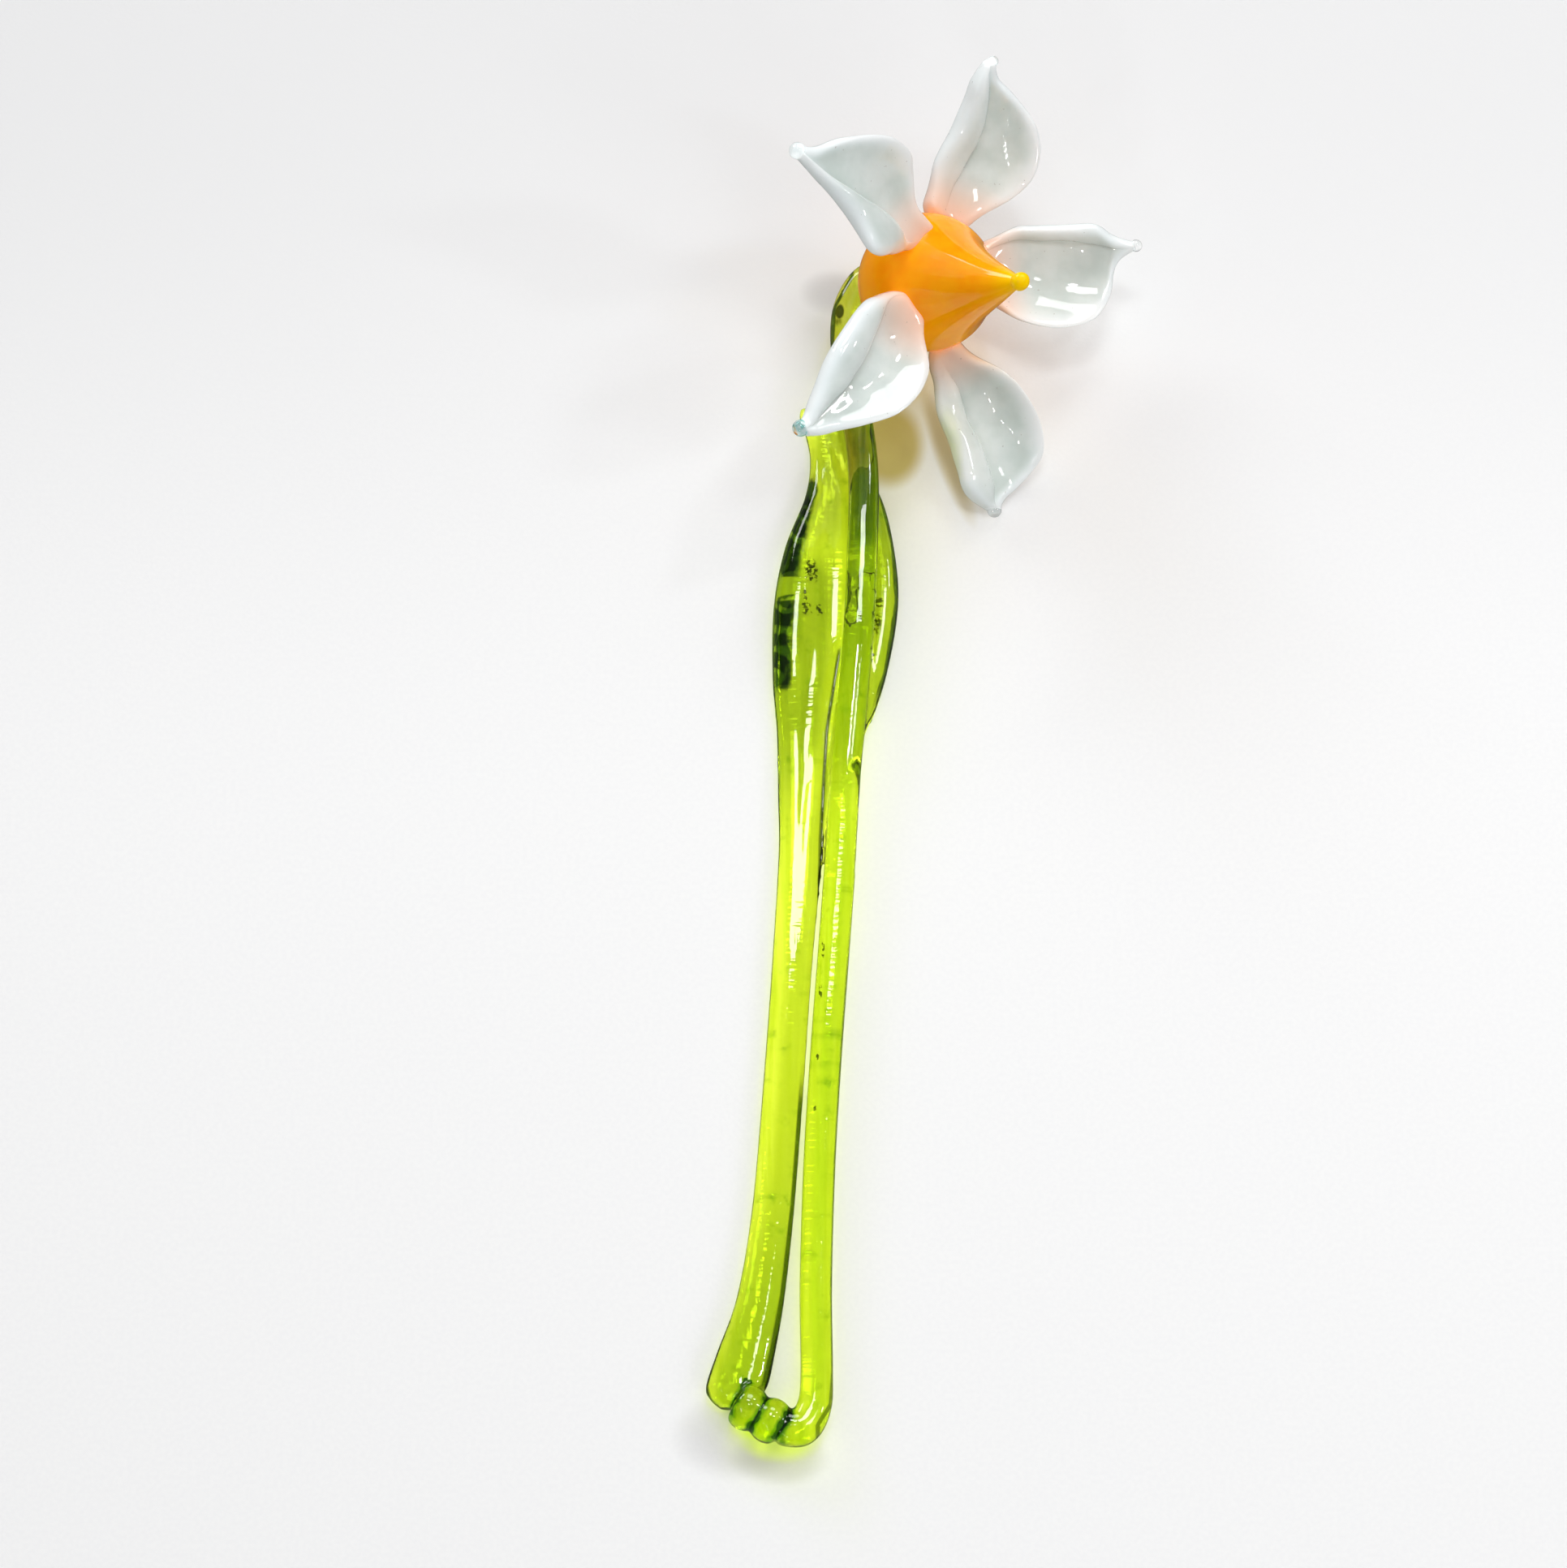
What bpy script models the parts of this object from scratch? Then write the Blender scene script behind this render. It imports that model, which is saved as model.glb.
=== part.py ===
"""A lampworked glass narcissus, lying on a table.

An orange glass drop is the corona. Five opal petals are set round it, each folded over
along one side and finished with a clear bead. The green stem is a bent glass rod that
crosses over its leaf and turns back into the leaf's foot, where a ridged collar joins them.

Metres, +Z up, the table at z = 0. The stem runs along Y with the flower at +Y, and the
origin is the middle of the footprint.
"""

from collections import namedtuple
from math import cos, pi, radians, sin, sqrt

import bmesh
import bpy
from mathutils import Euler, Matrix, Vector

MM = 0.001
GAP = 0.3 * MM  # left between glass pieces that are fused or touch

# The head: its ball stands clear of the table, and its axis Z leans from up towards +X and,
# a little, towards the foot.
HEAD_CENTRE = Vector((23.2, 79.4, 18.5)) * MM
HEAD_TURN = radians(53.5)
HEAD_TILT = radians(41.5)

# The corona: a ball drawn out along the flower's axis to a point with a bead.
BALL_RADIUS = 11.2 * MM
SHOULDER_ANGLE = radians(64)  # from the axis, where the ball passes into the cone
CONE_HOLLOW = 0.10  # how far the cone's side curves in, as a share of its radius
CONE_END_RADIUS = 1.2 * MM
TIP_BEAD_FORWARD = 26.3 * MM
TIP_BEAD_RADIUS = 1.45 * MM
BEAD_NECK = 0.4 * MM
CORONA_LEAN = Euler((radians(-2.2), radians(2.2), 0))
CORONA_SIDES = 28
BALL_RINGS = 12
CONE_RINGS = 7
BEAD_RINGS = 6

# The petals. Each runs from its root on the ball to its tip. A turn is an angle in degrees
# round the flower's axis, forward is along that axis from the ball's centre, and reach is out
# from it, in millimetres. The middle line bows back and sways sideways by so many
# millimetres, and the web is tilted and twisted about it. Neck, belly and taper shape the
# half width along the petal, and cup is how deep the web is, as a share of that width.
WEB_THICKNESS = 2.0 * MM
NECK_THICKNESS = 4.4 * MM
ROOT_SUNK = 0.97  # the root starts this far out, as a share of the ball, and is cut to it
NECK_ENDS = 0.3  # share of the petal's length over which the neck thins out to the web
TIP_SHARE = 0.14  # half width left at the very tip, as a share of the widest
RIM_POWER = 3.2  # how square the web's rims are: 2 is an ellipse, more is a slab
UNDER_SHARE = 3 / 8  # of the ring round a petal that goes to its underside
ROLL_SHARE = 1 / 4  # and to its rolled edge
ROLL_EASE = 0.18  # share of the length over which a rolled edge fades in and out
ROLL_HEIGHT = 1.25  # of the roll's radius
LEAST_ROLL = 0.12  # of the half width, where the roll has faded out
PETAL_BEAD_RADIUS = 1.3 * MM
PETAL_BEAD_SIDES = 14
PETAL_BEAD_RINGS = 8
PETAL_RINGS = 16
PETAL_SIDES = 24

Petal = namedtuple(
    "Petal",
    "turn reach forward root_turn root_forward bow sway tilt twist"
    " half_width neck belly taper cup folded_side roll roll_start roll_end",
)
UPPER_LEFT = Petal(
    turn=98.6, reach=37.1, forward=8.2,
    root_turn=87, root_forward=4.3, bow=-0.7, sway=-1.7, tilt=11, twist=-13,
    half_width=8.9, neck=0.41, belly=0.38, taper=1.6, cup=0.30,
    folded_side=1, roll=1.7, roll_start=0.04, roll_end=0.97,
)
TOP = Petal(
    turn=30.7, reach=36.4, forward=5.6,
    root_turn=21, root_forward=-2.2, bow=0.3, sway=-3.4, tilt=-8, twist=-11,
    half_width=9.2, neck=0.48, belly=0.50, taper=1.9, cup=0.35,
    folded_side=1, roll=1.9, roll_start=0.12, roll_end=1.0,
)
RIGHT = Petal(
    turn=-36.3, reach=34.4, forward=10.6,
    root_turn=-39, root_forward=-2.5, bow=1.3, sway=-1.8, tilt=3, twist=16,
    half_width=8.6, neck=0.65, belly=0.62, taper=1.7, cup=0.35,
    folded_side=1, roll=1.5, roll_start=0.10, roll_end=0.95,
)
LOWER_RIGHT = Petal(
    turn=-121.2, reach=38.2, forward=6.1,
    root_turn=-124, root_forward=0.6, bow=0.1, sway=3.5, tilt=18, twist=-23,
    half_width=8.8, neck=0.43, belly=0.58, taper=1.2, cup=0.29,
    folded_side=-1, roll=2.0, roll_start=0.10, roll_end=1.02,
)
LOWER_LEFT = Petal(
    turn=170.3, reach=36.9, forward=9.2,
    root_turn=152, root_forward=5.4, bow=-1.7, sway=1.3, tilt=1, twist=23,
    half_width=9.2, neck=0.43, belly=0.30, taper=1.3, cup=0.38,
    folded_side=-1, roll=1.9, roll_start=0.05, roll_end=0.95,
)
PETALS = (UPPER_LEFT, TOP, RIGHT, LOWER_RIGHT, LOWER_LEFT)

# The stem's rod, from behind the ball, down over the leaf and round the foot. Its two end
# points are worked out from the ball and from the collar.
ROD_RADIUS = 2.5 * MM
NECK_SWELL = 1.12
END_HANDLE = 1.0 * MM
TURN_SWELL = 1.14
STEM_ROUNDNESS = 4  # twice this and four more sides
STEM_STEPS = 5  # from each point of the route to the next
STEM_ROUTE = (
    (13.6, 84.3, 7.4),
    (10.8, 79.5, 6.3),
    (10.3, 72.0, 6.1),
    (11.6, 63.0, 6.5),
    (12.9, 52.0, 6.6),
    (12.8, 40.0, 6.4),
    (12.1, 25.0, 6.2),
    (11.0, 12.5, 5.8),
    (9.9, 0.5, 5.0),
    (9.0, -14.0, 4.0),
    (7.9, -29.0, 3.2),
    (6.7, -45.0, 2.8),
    (5.6, -63.0, 2.6),
    (5.0, -82.0, 2.6),
    (5.1, -96.0, 2.8),
    (4.7, -101.4, 3.0),
    (2.7, -104.7, 3.2),
)

# The leaf: stations along Y, each with its middle, half width and thickness.
LEAF_SIDES = 18
LEAF_RINGS_PER_STATION = 3
LEAF_FLAT = 0.35 * MM  # how much of the underside is flattened where it lies on the table
LEAF_RIM_POWER = 0.7
LEAF_STATIONS = (
    (-101.5, -8.0, 1.6, 2.8),
    (-100.2, -7.8, 3.4, 3.4),
    (-98.2, -7.2, 4.7, 3.9),
    (-93.0, -5.8, 4.5, 4.1),
    (-84.0, -3.5, 3.7, 4.0),
    (-70.0, -1.6, 3.3, 3.8),
    (-50.0, 0.0, 3.2, 3.8),
    (-30.0, 1.4, 3.2, 3.7),
    (-12.0, 2.8, 3.6, 3.4),
    (-3.0, 3.7, 4.6, 3.1),
    (8.0, 6.1, 7.2, 3.0),
    (18.0, 7.4, 9.2, 3.0),
    (30.0, 8.5, 10.1, 3.0),
    (40.0, 9.1, 8.9, 3.0),
    (49.0, 9.5, 6.4, 3.0),
    (55.5, 8.7, 4.0, 2.8),
    (60.5, 6.0, 2.4, 2.4),
    (64.2, 3.2, 1.0, 1.6),
)

# The foot's collar: two ridges round the line from the stem's end to the leaf.
COLLAR_START = Vector((-0.3, -104.7, 3.4)) * MM
COLLAR_END = Vector((-7.2, -100.8, 3.6)) * MM
COLLAR_WAIST = 2.5 * MM
COLLAR_GAP = 0.4 * MM
COLLAR_RIDGES = 2
COLLAR_RIDGE_HEIGHT = 0.9 * MM
COLLAR_SIDES = 20
COLLAR_RINGS = 20

GREEN_GLASS = ("green_glass", (0.42, 0.62, 0.03), 0.05)
ORANGE_GLASS = ("orange_glass", (0.95, 0.36, 0.02), 0.12)
OPAL_GLASS = ("opal_glass", (0.86, 0.89, 0.87), 0.10)
CLEAR_GLASS = ("clear_glass", (0.90, 0.95, 0.95), 0.03)


def clear_scene():
    for obj in list(bpy.data.objects):
        bpy.data.objects.remove(obj)


def new_collection(name):
    collection = bpy.data.collections.new(name)
    bpy.context.scene.collection.children.link(collection)
    return collection


def material_of(finish):
    name, colour, roughness = finish
    material = bpy.data.materials.get(name)
    if material is None:
        material = bpy.data.materials.new(name)
        material.use_nodes = True
        shader = material.node_tree.nodes["Principled BSDF"]
        shader.inputs["Base Color"].default_value = (*colour, 1)
        shader.inputs["Roughness"].default_value = roughness
        shader.inputs["Metallic"].default_value = 0
    return material


def add_object(name, data, collection, finish=None, parent=None):
    obj = bpy.data.objects.new(name, data)
    collection.objects.link(obj)
    obj.parent = parent
    if finish:
        data.materials.append(material_of(finish))
    return obj


def mesh_from(bm, name):
    bmesh.ops.recalc_face_normals(bm, faces=bm.faces)
    mesh = bpy.data.meshes.new(name)
    bm.to_mesh(mesh)
    bm.free()
    mesh.shade_smooth()
    return mesh


def as_cutter(obj):
    obj.hide_render = True
    obj.display_type = "WIRE"
    return obj


def subtract(obj, *tools):
    for tool in tools:
        cut = obj.modifiers.new("clear_of_" + tool.name, "BOOLEAN")
        cut.operation = "DIFFERENCE"
        cut.object = tool


# ---------------------------------------------------------------- turned pieces


def turned(name, profile, sides, collection, parent):
    """A profile of (radius, height) pairs, from the bottom up, turned about Z."""
    bm = bmesh.new()
    corners = [bm.verts.new((radius, 0, height)) for radius, height in reversed(profile)]
    for upper, lower in zip(corners, corners[1:]):
        bm.edges.new((upper, lower))
    mesh = bpy.data.meshes.new(name)
    bm.to_mesh(mesh)
    bm.free()
    obj = add_object(name, mesh, collection, parent=parent)
    screw = obj.modifiers.new("turn", "SCREW")
    screw.steps = sides
    screw.render_steps = sides
    screw.use_merge_vertices = True
    screw.merge_threshold = 0.01 * MM
    screw.use_smooth_shade = True
    return obj


def arc(radius, centre, start, end, count):
    """Points of a circle on the axis, by the angle from -Z, without the last one."""
    step = (end - start) / count
    angles = (start + step * i for i in range(count))
    return [(radius * sin(angle), centre - radius * cos(angle)) for angle in angles]


def corona_profile(grown=0.0):
    """From the pole behind the ball to the pole of the tip's bead."""
    ball = BALL_RADIUS + grown
    bead = TIP_BEAD_RADIUS + grown
    end = CONE_END_RADIUS + grown
    shoulder = pi - SHOULDER_ANGLE
    profile = arc(ball, 0, 0, shoulder, BALL_RINGS)
    start_radius = ball * sin(shoulder)
    start_height = -ball * cos(shoulder)
    bead_start = pi / 4
    end_height = TIP_BEAD_FORWARD - bead * cos(bead_start) - BEAD_NECK
    for i in range(CONE_RINGS + 1):
        share = i / CONE_RINGS
        radius = start_radius + (end - start_radius) * share
        radius *= 1 - CONE_HOLLOW * 4 * share * (1 - share)
        profile.append((radius, start_height + (end_height - start_height) * share))
    profile += arc(bead, TIP_BEAD_FORWARD, bead_start, pi, BEAD_RINGS)
    profile.append((0, TIP_BEAD_FORWARD + bead))
    return profile


def make_corona(parts, cutters, head):
    """The drop, and the cutter that keeps the petals clear of it."""
    corona = turned("corona", corona_profile(), CORONA_SIDES, parts, head)
    corona.data.materials.append(material_of(ORANGE_GLASS))
    clearance = turned("corona_clearance", corona_profile(GAP), CORONA_SIDES, cutters, head)
    for obj in (corona, clearance):
        obj.rotation_euler = CORONA_LEAN
    return as_cutter(clearance)


# ---------------------------------------------------------------- petals


def polar(turn, reach, forward):
    angle = radians(turn)
    return Vector((cos(angle) * reach, sin(angle) * reach, forward))


def smooth(value):
    value = min(max(value, 0.0), 1.0)
    return value * value * (3 - 2 * value)


def petal_half_width(petal, along):
    if along < petal.belly:
        share = petal.neck + (1 - petal.neck) * smooth(along / petal.belly)
    else:
        fall = cos(pi / 2 * (along - petal.belly) / (1 - petal.belly))
        share = TIP_SHARE + (1 - TIP_SHARE) * max(fall, 0.0) ** petal.taper
    return petal.half_width * MM * share


def roll_radius(petal, along, half_width):
    fade_in = smooth((along - petal.roll_start) / ROLL_EASE)
    fade_out = smooth((petal.roll_end - along) / ROLL_EASE)
    roll = min(petal.roll * MM * fade_in * fade_out, half_width / 2)
    return max(roll, LEAST_ROLL * half_width)


def petal_section(petal, along, around):
    """Across and up of a point on the ring round the petal: under it, over its rolled
    edge to the crease inside, and back over the cupped web to the free rim."""
    half_width = petal_half_width(petal, along)
    thickness = NECK_THICKNESS + (WEB_THICKNESS - NECK_THICKNESS) * smooth(along / NECK_ENDS)
    roll = roll_radius(petal, along, half_width)
    crease = half_width - 2 * roll
    face = 1
    lift = 0
    if around < UNDER_SHARE:
        face = -1
        across = -half_width * cos(pi * around / UNDER_SHARE)
    elif around < UNDER_SHARE + ROLL_SHARE:
        sweep = pi * (around - UNDER_SHARE) / ROLL_SHARE
        across = half_width - roll + roll * cos(sweep)
        lift = ROLL_HEIGHT * roll * sin(sweep)
    else:
        sweep = pi * (around - UNDER_SHARE - ROLL_SHARE) / (1 - UNDER_SHARE - ROLL_SHARE)
        across = (crease - half_width) / 2 + (crease + half_width) / 2 * cos(sweep)
    rim = max(1 - abs(across / half_width) ** RIM_POWER, 0) ** (1 / RIM_POWER)
    up = petal.cup * across**2 / half_width + face * thickness / 2 * rim + lift
    return across * petal.folded_side, up


def petal_point(petal, along, around):
    axis = Vector((0, 0, 1))
    side = axis.cross(polar(petal.turn, 1, 0))
    root_reach = sqrt(BALL_RADIUS**2 - (petal.root_forward * MM) ** 2) * ROOT_SUNK
    root = polar(petal.root_turn, root_reach, petal.root_forward * MM)
    swing = (side * petal.sway - axis * petal.bow) * MM
    reach = petal_tip(petal) - root
    middle = root + reach * along + swing * 4 * along * (1 - along)
    run = (reach + swing * 4 * (1 - 2 * along)).normalized()
    lean = Matrix.Rotation(radians(petal.tilt + petal.twist * (along - 0.5)), 3, run)
    flat = lean @ axis.cross(run).normalized()
    across, up = petal_section(petal, along, around)
    return middle + flat * across + run.cross(flat) * up


def closed_tube(sides, rings, place):
    """A grid rolled up until its sides meet, with its ends closed."""
    bm = bmesh.new()
    bmesh.ops.create_grid(bm, x_segments=sides, y_segments=rings, size=0.5)
    for vert in bm.verts:
        vert.co = place(vert.co.y + 0.5, vert.co.x + 0.5)
    bmesh.ops.remove_doubles(bm, verts=bm.verts, dist=0.001 * MM)
    bmesh.ops.holes_fill(bm, edges=bm.edges)
    return bm


def make_petal(number, petal, parts, cutters, head, corona_clearance):
    def place(along, around):
        return petal_point(petal, along, around)

    mesh = mesh_from(closed_tube(PETAL_SIDES, PETAL_RINGS, place), "petal")
    obj = add_object(f"petal_{number}", mesh, parts, OPAL_GLASS, head)
    grown_bead = bead_mesh(PETAL_BEAD_RADIUS + GAP)
    clearance = add_object(f"bead_clearance_{number}", grown_bead, cutters, parent=head)
    clearance.location = petal_tip(petal)
    subtract(obj, corona_clearance, as_cutter(clearance))


def petal_tip(petal):
    return polar(petal.turn, petal.reach * MM, petal.forward * MM)


def bead_mesh(radius):
    bm = bmesh.new()
    bmesh.ops.create_uvsphere(
        bm, u_segments=PETAL_BEAD_SIDES, v_segments=PETAL_BEAD_RINGS, radius=radius
    )
    return mesh_from(bm, "bead")


def make_petal_bead(number, petal, parts, head):
    mesh = bead_mesh(PETAL_BEAD_RADIUS)
    bead = add_object(f"petal_bead_{number}", mesh, parts, CLEAR_GLASS, head)
    bead.location = petal_tip(petal)


# ---------------------------------------------------------------- stem, leaf and foot


def make_stem(parts, head):
    behind = head.matrix_world @ Vector((0, 0, -(BALL_RADIUS + GAP)))
    into_collar = (COLLAR_END - COLLAR_START).normalized()
    foot = COLLAR_START - into_collar * COLLAR_GAP
    route = [behind] + [Vector(point) * MM for point in STEM_ROUTE] + [foot]
    curve = bpy.data.curves.new("stem", "CURVE")
    curve.dimensions = "3D"
    curve.bevel_depth = ROD_RADIUS
    curve.bevel_resolution = STEM_ROUNDNESS
    curve.resolution_u = STEM_STEPS
    curve.use_fill_caps = True
    spline = curve.splines.new("BEZIER")
    spline.bezier_points.add(len(route) - 1)
    for point, place in zip(spline.bezier_points, route):
        point.co = place
        point.handle_left_type = "AUTO"
        point.handle_right_type = "AUTO"
    away = head.matrix_world.to_3x3() @ Vector((0, 0, -1))
    ends = ((spline.bezier_points[0], away), (spline.bezier_points[-1], into_collar))
    for point, direction in ends:
        point.handle_left_type = "FREE"
        point.handle_right_type = "FREE"
        point.handle_left = point.co - direction * END_HANDLE
        point.handle_right = point.co + direction * END_HANDLE
    for point in spline.bezier_points[:3]:
        point.radius = NECK_SWELL
    for point in spline.bezier_points[-2:]:
        point.radius = TURN_SWELL
    add_object("stem", curve, parts, GREEN_GLASS)


def through(stations, share):
    """The value at share, 0 to 1, of a smooth curve through the stations' rows."""
    place = share * (len(stations) - 1)
    i = min(int(place), len(stations) - 2)
    t = place - i
    rows = [Vector(stations[min(max(i + k, 0), len(stations) - 1)]) for k in (-1, 0, 1, 2)]
    before, start, end, after = rows
    return (
        start
        + (end - before) * t / 2
        + (before * 2 - start * 5 + end * 4 - after) * t**2 / 2
        + (start * 3 - before - end * 3 + after) * t**3 / 2
    )


def leaf_point(along, around):
    y, middle, half_width, thickness = through(LEAF_STATIONS, along)
    angle = 2 * pi * around
    face = 1 if around < 0.5 else -1
    bulge = face * abs(sin(angle)) ** LEAF_RIM_POWER
    height = thickness / 2 * (1 + bulge) * MM - LEAF_FLAT
    return Vector(((middle + half_width * cos(angle)) * MM, y * MM, max(height, 0)))


def make_leaf(parts, collar_clearance):
    rings = LEAF_RINGS_PER_STATION * (len(LEAF_STATIONS) - 1)
    bm = closed_tube(LEAF_SIDES, rings, leaf_point)
    obj = add_object("leaf", mesh_from(bm, "leaf"), parts, GREEN_GLASS)
    subtract(obj, collar_clearance)


def collar_profile(grown=0.0):
    length = (COLLAR_END - COLLAR_START).length
    profile = [(0, -grown)]
    for i in range(COLLAR_RINGS + 1):
        share = i / COLLAR_RINGS
        ridge = COLLAR_RIDGE_HEIGHT * sin(pi * COLLAR_RIDGES * share) ** 2
        height = share * (length + 2 * grown) - grown
        profile.append((COLLAR_WAIST + ridge + grown, height))
    profile.append((0, length + grown))
    return profile


def make_collar(parts, cutters):
    """The collar, and the cutter that keeps the leaf clear of it."""
    frame = bpy.data.objects.new("collar_frame", None)
    parts.objects.link(frame)
    frame.location = COLLAR_START
    frame.rotation_euler = (COLLAR_END - COLLAR_START).to_track_quat("Z", "Y").to_euler()
    collar = turned("foot_collar", collar_profile(), COLLAR_SIDES, parts, frame)
    collar.data.materials.append(material_of(GREEN_GLASS))
    clearance = turned("collar_clearance", collar_profile(GAP), COLLAR_SIDES, cutters, frame)
    return as_cutter(clearance)


# ---------------------------------------------------------------- the whole flower


def stand_on_origin(parts):
    """Moves the flower so that the middle of its footprint is the origin."""
    bpy.context.view_layer.update()
    graph = bpy.context.evaluated_depsgraph_get()
    corners = []
    for obj in parts.objects:
        if obj.type != "EMPTY":
            solid = obj.evaluated_get(graph)
            corners += [solid.matrix_world @ vert.co for vert in solid.to_mesh().vertices]
            solid.to_mesh_clear()
    low = Vector(min(corner[i] for corner in corners) for i in range(3))
    high = Vector(max(corner[i] for corner in corners) for i in range(3))
    for obj in parts.objects:
        if obj.parent is None:
            obj.location -= Vector(((low.x + high.x) / 2, (low.y + high.y) / 2, 0))


def main():
    clear_scene()
    parts = new_collection("glass_narcissus")
    cutters = new_collection("cutters")

    head = bpy.data.objects.new("head_frame", None)
    parts.objects.link(head)
    head.location = HEAD_CENTRE
    head.rotation_euler = Euler((HEAD_TILT, 0, HEAD_TURN))
    bpy.context.view_layer.update()

    corona_clearance = make_corona(parts, cutters, head)
    for number, petal in enumerate(PETALS, 1):
        make_petal(number, petal, parts, cutters, head, corona_clearance)
        make_petal_bead(number, petal, parts, head)
    make_stem(parts, head)
    collar_clearance = make_collar(parts, cutters)
    make_leaf(parts, collar_clearance)
    stand_on_origin(parts)


main()
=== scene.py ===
"""The looks of a lampworked glass narcissus that lies on a white table.

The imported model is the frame: every piece here stands for one or more of its nodes, at the
same place and size. The flower is drawn first and then moved to where the frame has it, so
"as drawn" means before that move. A length is in metres if it's multiplied by MM or belongs
to a lamp, the table or the camera, and in millimetres otherwise. The head's pieces are drawn
in the head's own frame, whose Z is the axis of the flower, with the ball's centre at its
origin.
"""

from collections import namedtuple
from functools import partial
from math import cos, exp, pi, radians, sin, sqrt

import bmesh
import bpy
from mathutils import Euler, Matrix, Vector, noise


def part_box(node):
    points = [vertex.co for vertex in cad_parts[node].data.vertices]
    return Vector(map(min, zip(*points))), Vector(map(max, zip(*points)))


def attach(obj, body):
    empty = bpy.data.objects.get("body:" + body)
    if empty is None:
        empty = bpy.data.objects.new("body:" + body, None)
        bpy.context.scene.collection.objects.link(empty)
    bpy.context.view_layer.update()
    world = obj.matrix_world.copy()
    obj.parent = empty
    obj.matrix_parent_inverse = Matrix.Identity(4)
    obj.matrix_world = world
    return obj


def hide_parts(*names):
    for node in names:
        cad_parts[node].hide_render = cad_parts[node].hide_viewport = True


MM = 0.001

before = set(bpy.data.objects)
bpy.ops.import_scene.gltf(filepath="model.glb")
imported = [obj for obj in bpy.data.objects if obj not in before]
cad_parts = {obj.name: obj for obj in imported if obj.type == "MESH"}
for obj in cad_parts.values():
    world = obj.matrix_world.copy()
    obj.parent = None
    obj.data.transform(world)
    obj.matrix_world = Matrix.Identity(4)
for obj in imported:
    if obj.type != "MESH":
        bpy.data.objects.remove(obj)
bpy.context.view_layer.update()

# ---------------------------------------------------------------- the flower's dimensions

# The head, as drawn: the ball's centre, the turn of the flower's axis and its tilt.
HEAD_CENTRE = Vector((23.2, 79.4, 18.5)) * MM
HEAD_TURN = radians(53.5)
HEAD_TILT = radians(41.5)

# The orange corona: a ball drawn out from its shoulder, as a slightly hollow cone, to a bead.
BALL_RADIUS = 11.2 * MM
SHOULDER_ANGLE = radians(64)
CONE_HOLLOW = 0.10
CONE_END_RADIUS = 1.15 * MM
CONE_END_GAP = 0.25 * MM
TIP_BEAD_FORWARD = 26.3 * MM
TIP_BEAD_RADIUS = 1.5 * MM
TIP_BEAD_START = pi / 4
TIP_DRIFT = Vector((1.0, 1.0)) * MM  # how far the drawn point leans off the axis
BALL_STEPS = 48
CONE_STEPS = 40
TIP_BEAD_STEPS = 24
CORONA_SIDES = 96
CORONA_UNEVEN = 0.006  # how far it strays from a turned shape, as a share
CORONA_UNEVEN_SIZE = 9 * MM

# The petals, each from its root on the ball to its tip. Angles are degrees round the
# flower's axis, and lengths are millimetres. The middle line bows and sways, and the web is
# tilted and twisted about it. A row of stations gives a ring: its share of the way from the
# root, the edge of the folded side, the crease, the free edge, the height of the fold, and
# the thickness of the web.
Petal = namedtuple(
    "Petal",
    "turn reach forward root_turn root_forward bow sway tilt twist"
    " half_width cup bowl folded_side skew bead stations",
)
UPPER_LEFT = Petal(
    turn=98.6, reach=37.1, forward=8.2,
    root_turn=87, root_forward=4.3, bow=-0.7, sway=-1.7, tilt=8, twist=-13,
    half_width=8.9, cup=0.35, bowl=0.50, folded_side=1, skew=1.9, bead=1.35,
    stations=(
        (-0.12, -2.0, -2.6, -3.2, 0.0, 2.6),
        (-0.07, 0.6, -0.6, -4.3, 0.0, 4.6),
        (0.02, 3.2, 1.2, -4.1, 0.0, 5.0),
        (0.10, 5.6, 2.8, -4.1, 0.8, 4.4),
        (0.17, 7.2, 2.2, -5.0, 2.0, 3.2),
        (0.25, 8.9, 1.7, -6.5, 2.6, 2.4),
        (0.36, 9.8, 1.8, -8.1, 2.6, 2.0),
        (0.45, 8.2, 2.0, -8.5, 2.4, 2.0),
        (0.55, 6.4, 2.3, -8.1, 2.2, 2.0),
        (0.68, 5.0, 2.2, -6.3, 1.8, 2.0),
        (0.80, 3.6, 1.8, -4.1, 1.3, 2.0),
        (0.90, 2.3, 1.0, -1.6, 0.7, 1.9),
        (1.00, 1.1, 0.0, -0.9, 0.0, 1.8),
    ),
)
TOP = Petal(
    turn=30.7, reach=36.4, forward=5.6,
    root_turn=21, root_forward=-2.2, bow=2.0, sway=-3.4, tilt=-14, twist=-11,
    half_width=9.2, cup=0.30, bowl=0.65, folded_side=1, skew=1.2, bead=0.9,
    stations=(
        (-0.06, 3.2, 0.5, -2.2, 0.0, 3.5),
        (0.00, 4.1, 1.0, -3.4, 0.0, 5.0),
        (0.10, 4.9, 1.6, -4.4, 0.2, 4.6),
        (0.20, 5.9, 1.8, -5.9, 0.6, 3.6),
        (0.30, 6.5, 1.4, -7.6, 1.1, 2.8),
        (0.42, 6.4, 1.0, -8.8, 1.9, 2.2),
        (0.52, 6.0, 0.5, -9.0, 2.4, 2.0),
        (0.62, 5.5, 0.3, -8.6, 2.6, 2.0),
        (0.72, 5.0, 0.3, -7.2, 2.5, 2.0),
        (0.82, 4.3, 0.4, -4.0, 2.2, 2.0),
        (0.90, 3.7, 0.6, -1.4, 1.7, 2.0),
        (0.96, 2.7, 0.9, -0.6, 1.0, 1.9),
        (1.00, 1.6, 0.8, -0.4, 0.3, 1.6),
    ),
)
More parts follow.
